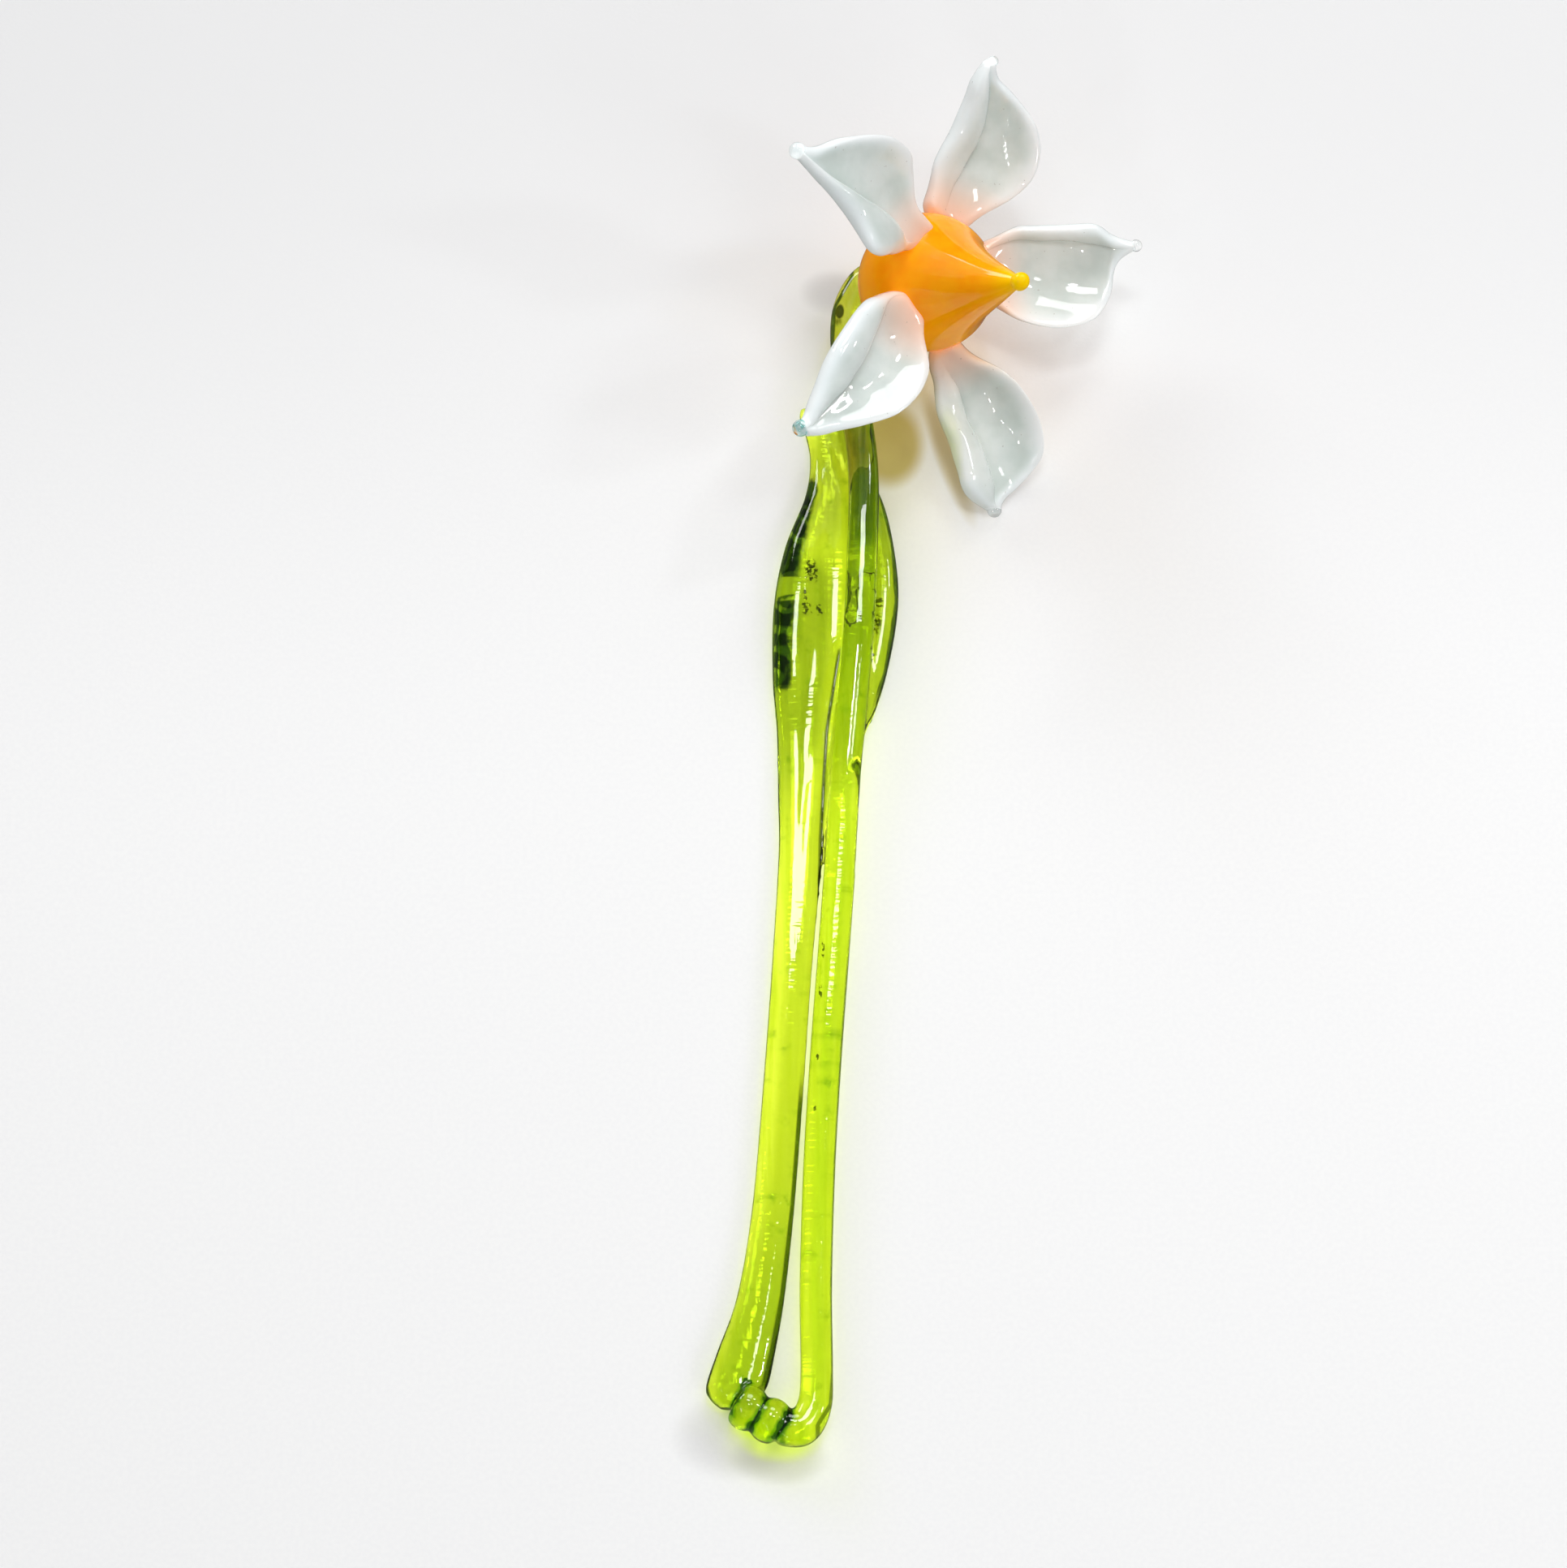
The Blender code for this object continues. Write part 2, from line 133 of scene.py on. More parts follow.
RIGHT = Petal(
    turn=-36.3, reach=34.4, forward=10.6,
    root_turn=-39, root_forward=-2.5, bow=2.5, sway=-1.8, tilt=-6, twist=16,
    half_width=8.6, cup=0.35, bowl=0.60, folded_side=1, skew=1.0, bead=1.0,
    stations=(
        (-0.05, 3.0, 1.0, -3.0, 0.0, 4.0),
        (0.03, 4.6, 2.5, -4.4, 0.2, 5.2),
        (0.12, 5.5, 3.8, -5.8, 0.6, 4.8),
        (0.22, 6.6, 4.7, -7.7, 1.0, 3.8),
        (0.32, 7.4, 5.1, -8.7, 1.3, 3.0),
        (0.45, 7.4, 4.8, -9.3, 1.4, 2.4),
        (0.56, 7.2, 4.5, -9.4, 1.4, 2.2),
        (0.66, 6.9, 4.1, -9.1, 1.3, 2.2),
        (0.74, 6.6, 3.5, -8.2, 1.2, 2.2),
        (0.81, 6.3, 2.6, -6.0, 1.0, 2.2),
        (0.86, 5.4, 1.8, -2.8, 0.8, 2.1),
        (0.91, 3.0, 0.8, -1.3, 0.4, 1.9),
        (1.00, 0.6, 0.0, -0.6, 0.0, 1.1),
    ),
)
LOWER_RIGHT = Petal(
    turn=-121.2, reach=38.2, forward=6.1,
    root_turn=-124, root_forward=0.6, bow=1.5, sway=3.5, tilt=18, twist=-23,
    half_width=8.8, cup=0.30, bowl=0.68, folded_side=-1, skew=1.2, bead=1.15,
    stations=(
        (-0.05, 2.0, 0.0, -2.6, 0.0, 3.5),
        (0.00, 2.4, 0.5, -3.2, 0.0, 5.0),
        (0.08, 3.4, 1.0, -3.5, 0.1, 4.8),
        (0.15, 4.0, 1.1, -4.3, 0.4, 4.2),
        (0.24, 5.2, 1.0, -6.2, 1.0, 3.0),
        (0.34, 6.1, 1.5, -7.4, 1.8, 2.3),
        (0.45, 6.4, 1.8, -8.0, 2.4, 2.0),
        (0.56, 6.4, 1.5, -8.3, 2.7, 2.0),
        (0.68, 6.5, 1.2, -8.2, 2.7, 2.0),
        (0.78, 6.4, 0.8, -7.2, 2.5, 2.0),
        (0.87, 6.4, 0.5, -4.4, 2.2, 2.0),
        (0.93, 5.7, 0.6, -2.1, 1.6, 2.0),
        (0.97, 4.0, 0.6, -1.2, 0.8, 2.0),
        (1.00, 1.3, 0.3, -1.0, 0.2, 1.8),
    ),
)
LOWER_LEFT = Petal(
    turn=170.3, reach=36.9, forward=9.2,
    root_turn=152, root_forward=5.4, bow=-0.5, sway=1.3, tilt=8, twist=23,
    half_width=9.2, cup=0.35, bowl=0.60, folded_side=-1, skew=1.3, bead=1.35,
    stations=(
        (-0.08, 0.3, -0.6, -1.4, 0.0, 2.4),
        (-0.04, 2.0, 0.5, -3.2, 0.0, 4.4),
        (0.02, 3.6, 2.6, -4.5, 0.2, 5.0),
        (0.09, 5.2, 3.4, -5.6, 0.8, 4.2),
        (0.16, 6.6, 2.9, -7.0, 1.5, 3.0),
        (0.24, 7.2, 2.1, -8.2, 2.0, 2.3),
        (0.33, 7.2, 1.4, -8.7, 2.3, 2.0),
        (0.43, 6.9, 0.8, -8.9, 2.4, 2.0),
        (0.54, 6.3, 0.2, -8.5, 2.3, 2.0),
        (0.64, 5.4, -0.2, -7.5, 2.1, 2.0),
        (0.74, 4.2, -0.1, -5.9, 1.8, 2.0),
        (0.84, 2.7, -0.3, -4.2, 1.2, 2.0),
        (0.93, 1.4, -0.8, -3.0, 0.6, 1.9),
        (1.00, 0.9, -0.5, -1.6, 0.0, 1.8),
    ),
)
PETALS = (UPPER_LEFT, TOP, RIGHT, LOWER_RIGHT, LOWER_LEFT)

ROOT_SUNK = 0.97  # where the petals and the stem start, as a share of the ball's radius
ROOT_ROUND = 0.09  # the share of a petal over which its root's end is rounded
RIM_POWER = 2.7  # 2 is a round rim
UNDER_SHARE = 0.30  # the shares of a ring that lie under the petal and over its web
WEB_SHARE = 0.34
CREASE_DEPTH = 0.17 * MM
CREASE_WIDTH = 0.75 * MM
CREASE_FOLD = 1.2 * MM  # how high the fold is where the crease has its full depth
EDGE_BULGE = 0.5 * MM  # how much thicker the web is just inside its free edge
EDGE_BULGE_WIDTH = 1.1 * MM
PETAL_SIDES = 96
PETAL_RINGS = 84
PETAL_SMOOTHING = 2
PETAL_UNEVEN = 0.15 * MM
PETAL_UNEVEN_SIZE = 4.5 * MM
BEAD_SIDES = 48
BEAD_RINGS = 32

# The stem's route as drawn, with its thickness as a share of the rod's.
ROD_RADIUS = 2.5 * MM
ROD_SQUARENESS = 2.5  # 2 is round, and more is a little flattened on top and at the sides
STEM_SIDES = 48
STEM_RINGS = 420
NECK_THICKNESS = 1.12
FOOT_THICKNESS = 1.14
FOOT_SUNK = 0.4 * MM  # how far the stem's end reaches into the collar
STEM_LOOK = 0.002  # how far to either side the stem's direction is taken from, as a share
STEM_ROUTE = (
    (13.6, 84.3, 7.4, NECK_THICKNESS),
    (10.8, 79.5, 6.3, NECK_THICKNESS),
    (10.3, 72.0, 6.1, 1.0),
    (11.6, 63.0, 6.5, 1.0),
    (12.9, 52.0, 6.6, 1.0),
    (12.8, 40.0, 6.4, 1.0),
    (12.1, 25.0, 5.9, 1.0),
    (11.0, 12.5, 4.6, 1.0),
    (9.9, 0.5, 3.3, 1.0),
    (9.0, -14.0, 2.8, 1.0),
    (7.9, -29.0, 2.7, 1.0),
    (6.7, -45.0, 2.8, 1.0),
    (5.6, -63.0, 2.6, 1.0),
    (5.0, -82.0, 2.6, 1.0),
    (5.1, -96.0, 2.8, 1.0),
    (4.7, -101.4, 3.0, 1.06),
    (2.7, -104.7, 3.2, FOOT_THICKNESS),
)

# The leaf's stations: a place along Y, the middle's X, half the width, the thickness, and how
# far the rod is pressed out into a blade, which has a broad sloping margin.
LEAF_STATIONS = (
    (-101.5, -8.0, 1.6, 3.2, 0.0),
    (-100.2, -7.8, 3.4, 4.4, 0.0),
    (-98.2, -7.2, 4.7, 5.0, 0.0),
    (-93.0, -5.8, 4.5, 4.8, 0.0),
    (-84.0, -3.5, 3.7, 4.4, 0.0),
    (-70.0, -1.6, 3.3, 4.1, 0.0),
    (-50.0, 0.0, 3.2, 4.0, 0.0),
    (-30.0, 1.4, 3.2, 3.9, 0.0),
    (-12.0, 2.8, 3.6, 3.8, 0.1),
    (-3.0, 3.7, 4.6, 3.8, 0.4),
    (8.0, 6.1, 7.2, 3.9, 0.8),
    (18.0, 7.4, 9.2, 4.5, 1.0),
    (30.0, 8.5, 10.1, 4.8, 1.0),
    (40.0, 9.1, 8.9, 4.6, 1.0),
    (49.0, 9.7, 6.2, 4.0, 0.9),
    (55.5, 8.1, 3.8, 3.0, 0.6),
    (60.5, 7.2, 3.8, 2.8, 0.3),
    (63.0, 4.9, 2.3, 2.4, 0.0),
    (64.8, 3.8, 1.0, 1.6, 0.0),
)
LEAF_SIDES = 96
LEAF_RINGS = 420
LEAF_FLAT = 0.35 * MM  # how much of the underside is flat
LEAF_RIM_POWER = 0.7  # below 1 keeps the underside low until it's close to the edge
# The height of the leaf's edge, as a share of its thickness, where it's a rod and a blade.
ROD_EDGE = 0.5
BLADE_EDGE = 0.25
BLADE_MARGIN = (0.38, 0.24)  # the share of the half width that slopes, left and right
# The blade falls from its crest to its hollow beside the stem. Both are places across it,
# from -1 to 1, and the lean is how steeply it falls.
BLADE_CREST = -0.66
BLADE_HOLLOW = 0.35
BLADE_LEAN = 0.16
# The cleft between the leaf and the stem, with painted shade in it: its line's (y, x), how high
# the shade reaches, and half its width.
CREVICE = ((24.0, 9.3), (19.0, 8.5), (8.1, 6.9), (-9.6, 5.9), (-20.0, 5.6))
CREVICE_TOP = 4.5
CREVICE_WIDTH = 0.4
LINE_FADE = 3.0  # how far in from its ends a line along the leaf has its full strength
# Ridges and grooves along the leaf's top: height, half the width, and the line's (y, x).
LEAF_RIDGES = (
    (0.15, 0.9, ((60.0, 5.5), (56.0, 7.3), (49.0, 9.3), (39.0, 9.5), (25.6, 8.8), (14.0, 7.4))),
    (-1.3, 0.7, CREVICE),
    (-0.15, 0.7, ((24.0, 4.6), (10.0, 3.4), (-2.0, 3.0), (-30.0, 1.9))),
)
# The streaks that the pulling left in its surface: their height, the share of it that they
# have on the rod, and for each kind its own share, how many are side by side, their length
# and their place in the noise.
LEAF_STREAK_HEIGHT = 0.13
ROD_STREAKS = 0.15
LEAF_STREAKS = ((1.0, 5, 28, 0), (0.5, 13, 20, 3))

# The foot's collar: a short rod with two swellings, from the stem's end to the leaf's foot.
COLLAR_START = Vector((-0.3, -104.7, 3.4)) * MM
COLLAR_END = Vector((-7.2, -100.8, 3.6)) * MM
COLLAR_WAIST = 2.5 * MM
COLLAR_RIDGES = 2
COLLAR_RIDGE_HEIGHT = 1.1 * MM
COLLAR_STEPS = 64
COLLAR_SIDES = 64
SEAM_WIDTH = 0.9 * MM

# How finely the green pieces are melted together, and how often the skin is smoothed. The
# narrow gap under the stem, where it leaves the blade, is rounded out: its reach along X and
# Y, and its top.
GREEN_VOXEL = 0.32 * MM
GREEN_SMOOTHING = 4
GAP_X = (7.2, 14.0)
GAP_Y = (-16.0, 14.0)
GAP_TOP = 4.3
GAP_SMOOTHING = 30
# How near a point of the skin has to be to count as on a piece.
ON_ROD = 1.15  # across the leaf or the stem, as a share of half its width
ON_STEM_LEVEL = 1.1  # above or below the stem's middle, as a share of its radius
ON_LEAF_END = 0.1  # past the leaf's ends
ON_LEAF_TOP = 0.3  # above the leaf's thickness
ON_COLLAR = 1.3  # out from the collar's waist, as a share of its swellings' height
ACROSS_LIMIT = 1.2  # the farthest across that a point is marked

# Spots as drawn: x, y, half the width and half the height. First the soot and dirt caught on
# the leaf and the stem, and a dark spot on the neck.
SPECKS = (
    (3.4, 31.3, 0.4, 0.5),
    (3.6, 29.0, 0.9, 0.6),
    (5.7, 28.7, 0.5, 0.7),
    (4.4, 35.5, 1.1, 1.7),
    (15.3, 30.2, 1.1, 0.5),
    (15.0, 26.5, 0.9, 1.5),
    (14.4, 20.7, 0.6, 0.5),
    (5.3, -46.5, 0.25, 0.7),
    (4.9, -55.0, 0.3, 0.6),
    (6.2, -29.0, 0.3, 1.6),
    (5.8, -36.0, 0.3, 1.4),
)
NECK_SPOT = ((9.2, 78.6, 0.75, 1.35),)
# The side of a petal that's green with the leaf's light.
GREENED = ((26.2, 53.5, 3.4, 9.0),)
# What the glass throws on the table: coloured light, and shade.
OLIVE_LIGHT = ((17.4, 58.7, 6.6, 8.6),)
BROWN_SHADE = ((27.0, 56.5, 2.6, 13.5),)
BROWN_SLANT = -0.32
LIME_LIGHT = ((-0.5, -106.0, 7.0, 4.0), (-4.8, -103.4, 4.0, 3.0))
SHADE = ((-7.0, -105.5, 11.5, 7.5), (-0.5, -109.0, 8.5, 4.5), (8.0, 86.0, 6.0, 4.5))

TABLE_SIZE = 3.0
TABLE_DROP = 0.05 * MM  # how far below the flower the table is, so that they never meet


# ---------------------------------------------------------------- lights, room and camera

# Each lamp's direction from the flower, distance, width and height, and power. The small
# ones are there for the glints they leave on the glass, and the fill leaves none.
LIGHTS = (
    ("lamp", (0.06, 0.12, 0.98), 2.5, (0.17, 0.17), 4.0),
    ("softbox", (0.0, 0.24, 0.7), 0.74, (0.2, 0.11), 1.0),
    ("window", (-0.55, 0.75, 0.36), 1.6, (0.8, 0.43), 8.4),
    ("skylight", (0.15, 0.74, 0.65), 1.5, (0.60, 0.50), 6.2),
    ("right_lamp", (0.78, -0.03, 0.62), 0.9, (0.05, 0.10), 0.6),
    ("high_lamp", (0.33, 0.05, 0.94), 0.9, (0.12, 0.14), 0.7),
    ("back_lamp", (0.50, 0.42, 0.75), 0.9, (0.05, 0.09), 0.5),
)
FILL = ("fill", (0.5, -0.6, 0.5), 1.2, (0.7, 0.5), 2.3)
# A string of small bare lamps in front, from low on the right to high on the left, and the
# distance, size and power of each.
STRING_LAMPS = 7
STRING_LAMP = (0.9, (0.026, 0.026), 0.12)
STRING_START = Vector((-0.10, -0.86, 0.48))
STRING_END = Vector((-0.55, -0.32, 0.77))
# How strongly the room glows: its walls, its ceiling, and all of it as the camera sees it.
WALL_GLOW = 0.04
CEILING_GLOW = 0.27
SEEN_GLOW = 0.85

CAMERA_LENS = 111.8
CAMERA_ELEVATION = radians(71.5)
CAMERA_DISTANCE = 0.78


# ---------------------------------------------------------------- materials


class Value:
    """What a node gives. Arithmetic on it adds Math nodes."""

    def __init__(self, recipe, socket):
        self.recipe = recipe
        self.socket = socket

    def math(self, operation, *terms):
        return self.recipe.node("ShaderNodeMath", {"operation": operation}, terms)

    def __add__(self, other):
        return self.math("ADD", self, other)

    def __sub__(self, other):
        return self.math("SUBTRACT", self, other)

    def __rsub__(self, other):
        return self.math("SUBTRACT", other, self)

    def __mul__(self, other):
        return self.math("MULTIPLY", self, other)

    __radd__ = __add__
    __rmul__ = __mul__

    def sine(self):
        return self.math("SINE", self)

    def ramp(self, start, end, out_start=0.0, out_end=1.0):
        """Runs smoothly from out_start to out_end as this runs from start to end."""
        settings = {"interpolation_type": "SMOOTHSTEP"}
        values = (self, start, end, out_start, out_end)
        return self.recipe.node("ShaderNodeMapRange", settings, values)


class Recipe:
    """A material, or the sky, written down as nodes."""

    def __init__(self, holder):
        holder.use_nodes = True
        self.holder = holder
        self.tree = holder.node_tree
        self.tree.nodes.clear()

    def node(self, kind, settings=None, sockets=(), output=0):
        """A node with its settings made first, then its sockets, by name or in order."""
        node = self.tree.nodes.new(kind)
        for name, setting in (settings or {}).items():
            setattr(node, name, setting)
        named = sockets.items() if isinstance(sockets, dict) else enumerate(sockets)
        for key, value in named:
            self.feed(node.inputs[key], value)
        return Value(self, node.outputs[output]) if node.outputs else None

    def feed(self, socket, value):
        if isinstance(value, Value):
            self.tree.links.new(value.socket, socket)
        elif socket.type == "RGBA":
            socket.default_value = (*value, 1)
        else:
            socket.default_value = value

    def place(self, stretch=(1, 1, 1)):
        """The piece's own coordinates, in metres, times a stretch."""
        own = self.node("ShaderNodeTexCoord", output="Object")
        return self.node("ShaderNodeMapping", None, {"Vector": own, "Scale": stretch})

    def drawn(self, axes="XY"):
        """X and Y as drawn, or one of them, in millimetres."""
        own = self.node("ShaderNodeTexCoord", output="Object")
        sockets = {"Vector": own, "Location": -SHIFT / MM, "Scale": (1 / MM, 1 / MM, 1 / MM)}
        drawn = self.node("ShaderNodeMapping", None, sockets)
        return [self.node("ShaderNodeSeparateXYZ", None, [drawn], axis) for axis in axes]

    def spots(self, rows, start=0.4, end=1.3, slant=0.0):
        """1 inside soft ellipses on the drawing, and 0 outside them. A row is an ellipse's
        middle (x, y), and half its width and height, in millimetres. It fades between start
        and end, as squared shares of its reach. A slant leans it toward +X as Y grows."""
        x, y = self.drawn()
        inside = 0.0
        for middle_x, middle_y, wide, tall in rows:
            aside = (x - middle_x - (y - middle_y) * slant) * (1 / wide)
            along = (y - middle_y) * (1 / tall)
            inside = inside + (aside * aside + along * along).ramp(start, end, 1.0, 0.0)
        return inside

    def marked(self, name):
        return self.node("ShaderNodeAttribute", {"attribute_name": name}, output="Fac")

    def noise(self, size, detail=2.0, stretch=(1, 1, 1)):
        """Cloudy noise from 0 to 1 whose clouds are about this many metres across."""
        sockets = {"Vector": self.place(stretch), "Scale": 1 / size, "Detail": detail}
        return self.node("ShaderNodeTexNoise", None, sockets)

    def blend(self, share, first, second):
        """A mix of two colours. The mix node has a set of sockets for each kind of value, so
        its sockets are given by number."""
        settings = {"data_type": "RGBA"}
        return self.node("ShaderNodeMix", settings, {0: share, 6: first, 7: second}, 2)

    def bump(self, height, distance, strength=1.0):
        sockets = {"Height": height, "Distance": distance, "Strength": strength}
        return self.node("ShaderNodeBump", None, sockets)

    def shader(self, **sockets):
        named = {name.replace("_", " "): value for name, value in sockets.items()}
        return self.node("ShaderNodeBsdfPrincipled", None, named)

    def ray(self, kind):
        """1 for one kind of ray, such as Camera or Shadow, and 0 for the others."""
        return self.node("ShaderNodeLightPath", output=f"Is {kind} Ray")

    def mirrored(self):
        """1 for what a gloss mirrors, and 0 for what shows through glass."""
        return self.ray("Glossy") * (1 - self.ray("Transmission"))

    def lets_lamps_through(self, surface, tint=(1, 1, 1)):
        """Glass that throws a tinted shadow instead of a black one."""
        lamp = self.ray("Shadow")
        open_glass = self.node("ShaderNodeBsdfTransparent", None, {"Color": tint})
        return self.node("ShaderNodeMixShader", None, (lamp, surface, open_glass))

    def tinted(self, density, colour):
        """Glass coloured all through."""
        sockets = {"Color": colour, "Density": density}
        return self.node("ShaderNodeVolumeAbsorption", None, sockets)

    def finish(self, surface, volume=None):
        sockets = {"Surface": surface}
        if volume:
            sockets["Volume"] = volume
        self.node("ShaderNodeOutputMaterial", None, sockets)
        return self.holder


def new_recipe(name):
    return Recipe(bpy.data.materials.new(name))


# What the green glass's masks are worked out from: Y as drawn, how far across the leaf and
# the stem a point is, whether it's on one of them, and clouds and streaks.
GreenPlace = namedtuple(
    "GreenPlace", "y across_leaf across_stem on_leaf on_stem wander fine_streaks broad_streaks"
)


def rod_green(recipe, at):
    """The rods' yellow-green, streaked, with a greener middle band of painted shade in the stem
    beside the blade, and greener to the right and low down on the leaf."""
    streaked = recipe.blend(at.fine_streaks.ramp(0.42, 0.62), (1.0, 1.0, 0.45), (0.84, 0.90, 0.22))
    # The stem's greener middle band is painted shade.
    middle = at.across_stem.ramp(-0.45, -0.1) * at.across_stem.ramp(0.3, 0.6, 1.0, 0.0)
    stem_middle_shade = middle * at.on_stem * at.y.ramp(6, 14, 0.6, 0.0)
    stem_middle_shaded = recipe.blend(stem_middle_shade, streaked, (0.74, 0.87, 0.16))
    right_part = at.on_leaf * at.across_leaf.ramp(-0.55, 0.1) * 0.8
    leaf_rod = recipe.blend(right_part, stem_middle_shaded, (0.72, 0.78, 0.18))
    low_part = at.on_leaf * at.across_leaf.ramp(-0.8, -0.5) * at.y.ramp(-88, -60, 0.8, 0.0)
    return recipe.blend(low_part, leaf_rod, (0.56, 0.66, 0.10))


def with_blade(recipe, at, colour):
    """The blade's broader streaks, and its deeper green where it's hollow."""
    blade = at.on_leaf * at.y.ramp(-15, 12)
    pulled = recipe.blend(at.broad_streaks.ramp(0.38, 0.62), (0.60, 0.70, 0.08), (0.96, 1.0, 0.30))
    leafy = recipe.blend(blade * 0.9, colour, pulled)
    upper_left = at.across_leaf.ramp(-0.2, 0.1, 1.0, 0.0) * at.y.ramp(34, 40, 1.0, 0.0)
    hollow = upper_left + at.across_leaf.ramp(0.3, 0.5)
    sunken = blade * hollow * at.broad_streaks.ramp(0.3, 0.6, 0.9, 0.5)
    return recipe.blend(sunken, leafy, (0.38, 0.46, 0.05))


def with_head_shade(recipe, at, colour):
    """The head's dark, seen in the stem down to where it lies on the blade."""
    upper_stem = at.on_stem * (at.y + at.wander * 2.5).ramp(36.5, 40.0)
    right = (at.across_stem + at.wander * 0.3).ramp(-0.7, -0.3)
    streaks = at.fine_streaks.ramp(0.35, 0.6, 0.95, 0.55)
    shade = upper_stem * at.y.ramp(62, 67, 1.0, 0.0) * right * streaks
    return recipe.blend(shade, colour, (0.19, 0.30, 0.006))


def with_margin_shade(recipe, at, colour):
    """Painted shade in two lengths of the blade's left margin, with light threads curling through.
    """
    margin = at.across_leaf + at.wander * 0.05
    # Painted shade along the blade's left margin, with lighter threads.
    margin_shade = margin.ramp(-0.97, -0.93) * margin.ramp(-0.70, -0.63, 1.0, 0.0) * at.on_leaf
    upper = at.y.ramp(34.7, 35.0) * (at.y + at.wander * 1.5).ramp(51, 53, 1.0, 0.0)
    lower = (at.y + at.wander * 0.8).ramp(15.2, 16.0) * at.y.ramp(30.7, 31.0, 1.0, 0.0)
    curls = recipe.noise(4.5 * MM, 1.5, (1, 0.35, 1))
    threads = (curls * 34).sine().ramp(0.3, 1.0)
    margin_shade_colour = recipe.blend(threads * 0.8, (0.010, 0.03, 0.004), (0.40, 0.58, 0.08))
    return recipe.blend(margin_shade * (upper + lower), colour, margin_shade_colour)


def with_painted_edge_shade(recipe, at, colour):
    """Painted shade: dark lines at the blade's right, the leaf rod's right, the thin left edge, the
    stem's right, both sides of the neck, and in the cleft between the leaf and the stem."""
    blade_edge = (at.across_leaf + at.wander * 0.02).ramp(0.92, 0.95) * at.y.ramp(10, 16)
    rod_part = at.y.ramp(-54, -46, 1.0, 0.0) * at.y.ramp(-100, -98)
    rod_edge = at.across_leaf.ramp(0.74, 0.84) * rod_part
    thin_edge = at.across_leaf.ramp(-0.95, -0.90, 1.0, 0.0) * at.y.ramp(0, 8, 0.7, 0.0)
    leaf_edges = (blade_edge + rod_edge + thin_edge) * at.on_leaf
    line = at.across_stem.ramp(0.82, 0.92) * at.y.ramp(-35, -20, 0.9, 0.2)
    neck = (at.across_stem * at.across_stem).ramp(0.6, 0.8) * at.y.ramp(63, 66)
    cleft = recipe.marked("crevice").ramp(0.3, 0.8)
    # The dark lines and the cleft's dark are painted shade.
    dark = leaf_edges + (line + neck) * at.on_stem + cleft * 0.9
    return recipe.blend(dark, colour, (0.02, 0.04, 0.005))


def with_seam_shade_and_dirt(recipe, at, colour):
    """Painted shade in the seams between the foot's swellings, grains of dirt, and the neck's dark
    spot.
    """
    seam = recipe.marked("seam")
    # The seams' dark is painted shade.
    ring = recipe.blend((seam + at.wander * 0.8).ramp(0.15, 0.6), colour, (0.16, 0.40, 0.02))
    seam_shaded = recipe.blend((seam + at.wander * 1.2).ramp(0.6, 0.85), ring, (0.004, 0.03, 0.002))
    grains = recipe.noise(0.6 * MM, 3.0).ramp(0.48, 0.54)
    dirt = recipe.spots(SPECKS) * grains + recipe.spots(NECK_SPOT, 0.6, 1.2)
    return recipe.blend(dirt, seam_shaded, (0.02, 0.025, 0.005))


def green_glass():
    """Yellow-green rod, drawn out lengthwise, so that it's streaked."""
    recipe = new_recipe("green_glass")
    (y,) = recipe.drawn("Y")
    at = GreenPlace(
        y=y,
        across_leaf=recipe.marked("across_leaf"),
        across_stem=recipe.marked("across_stem"),
        on_leaf=recipe.marked("on_leaf"),
        on_stem=recipe.marked("on_stem"),
        wander=recipe.noise(3 * MM, 3.0) * 2 - 1,
        fine_streaks=recipe.noise(1.2 * MM, 3.0, (1, 0.04, 1)),
        broad_streaks=recipe.noise(4 * MM, 3.0, (1, 0.10, 1)),
    )
    colour = rod_green(recipe, at)
    # After the blade's streaks, these layers paint shade into the colour: the head's, the margin's,
    # the edges' and the seams'. The last also adds dirt.
    for layer in (with_blade, with_head_shade, with_margin_shade, with_painted_edge_shade, with_seam_shade_and_dirt):
        colour = layer(recipe, at, colour)
    ripples = recipe.noise(0.8 * MM, 1.0, (0.15, 1, 0.15))
    height = at.fine_streaks * 0.5 + at.broad_streaks + ripples * 0.25
    surface = recipe.shader(
        Base_Color=colour,
        Roughness=0.012,
        IOR=1.51,
        Transmission_Weight=1.0,
        Normal=recipe.bump(height, 0.06 * MM),
    )
    glass = recipe.lets_lamps_through(surface, (0.93, 0.94, 0.9))
    return recipe.finish(glass, recipe.tinted(density=300, colour=(0.79, 0.855, 0.02)))


def orange_glass():
    """Opaque orange, cloudy and faintly streaked, drawn out to yellow at the tip, with a faint
    painted glow, standing in for light that comes through it.
    """
    recipe = new_recipe("orange_glass")
    toward_tip = recipe.marked("toward_tip")
    clouds = recipe.noise(7 * MM, 3.0)
    streaks = recipe.noise(1.5 * MM, 3.0)
    deep = recipe.blend(clouds.ramp(0.35, 0.75), (1.0, 0.39, 0.004), (0.97, 0.30, 0.002))
    warm = recipe.blend(streaks.ramp(0.4, 0.8) * 0.25, deep, (1.0, 0.45, 0.006))
    surface = recipe.shader(
        Base_Color=recipe.blend(toward_tip.ramp(0.78, 0.97), warm, (1.0, 0.62, 0.0)),
        Roughness=0.05,
        IOR=1.38,
        Subsurface_Weight=0.5,
        Subsurface_Radius=(1.0, 0.7, 0.3),
        Subsurface_Scale=3.0 * MM,
        # Painted glow, standing in for light that comes through the orange glass.
        Emission_Color=(1.0, 0.30, 0.0),
        Emission_Strength=0.10,
    )
    return recipe.finish(recipe.lets_lamps_through(surface, (0.62, 0.50, 0.14)))


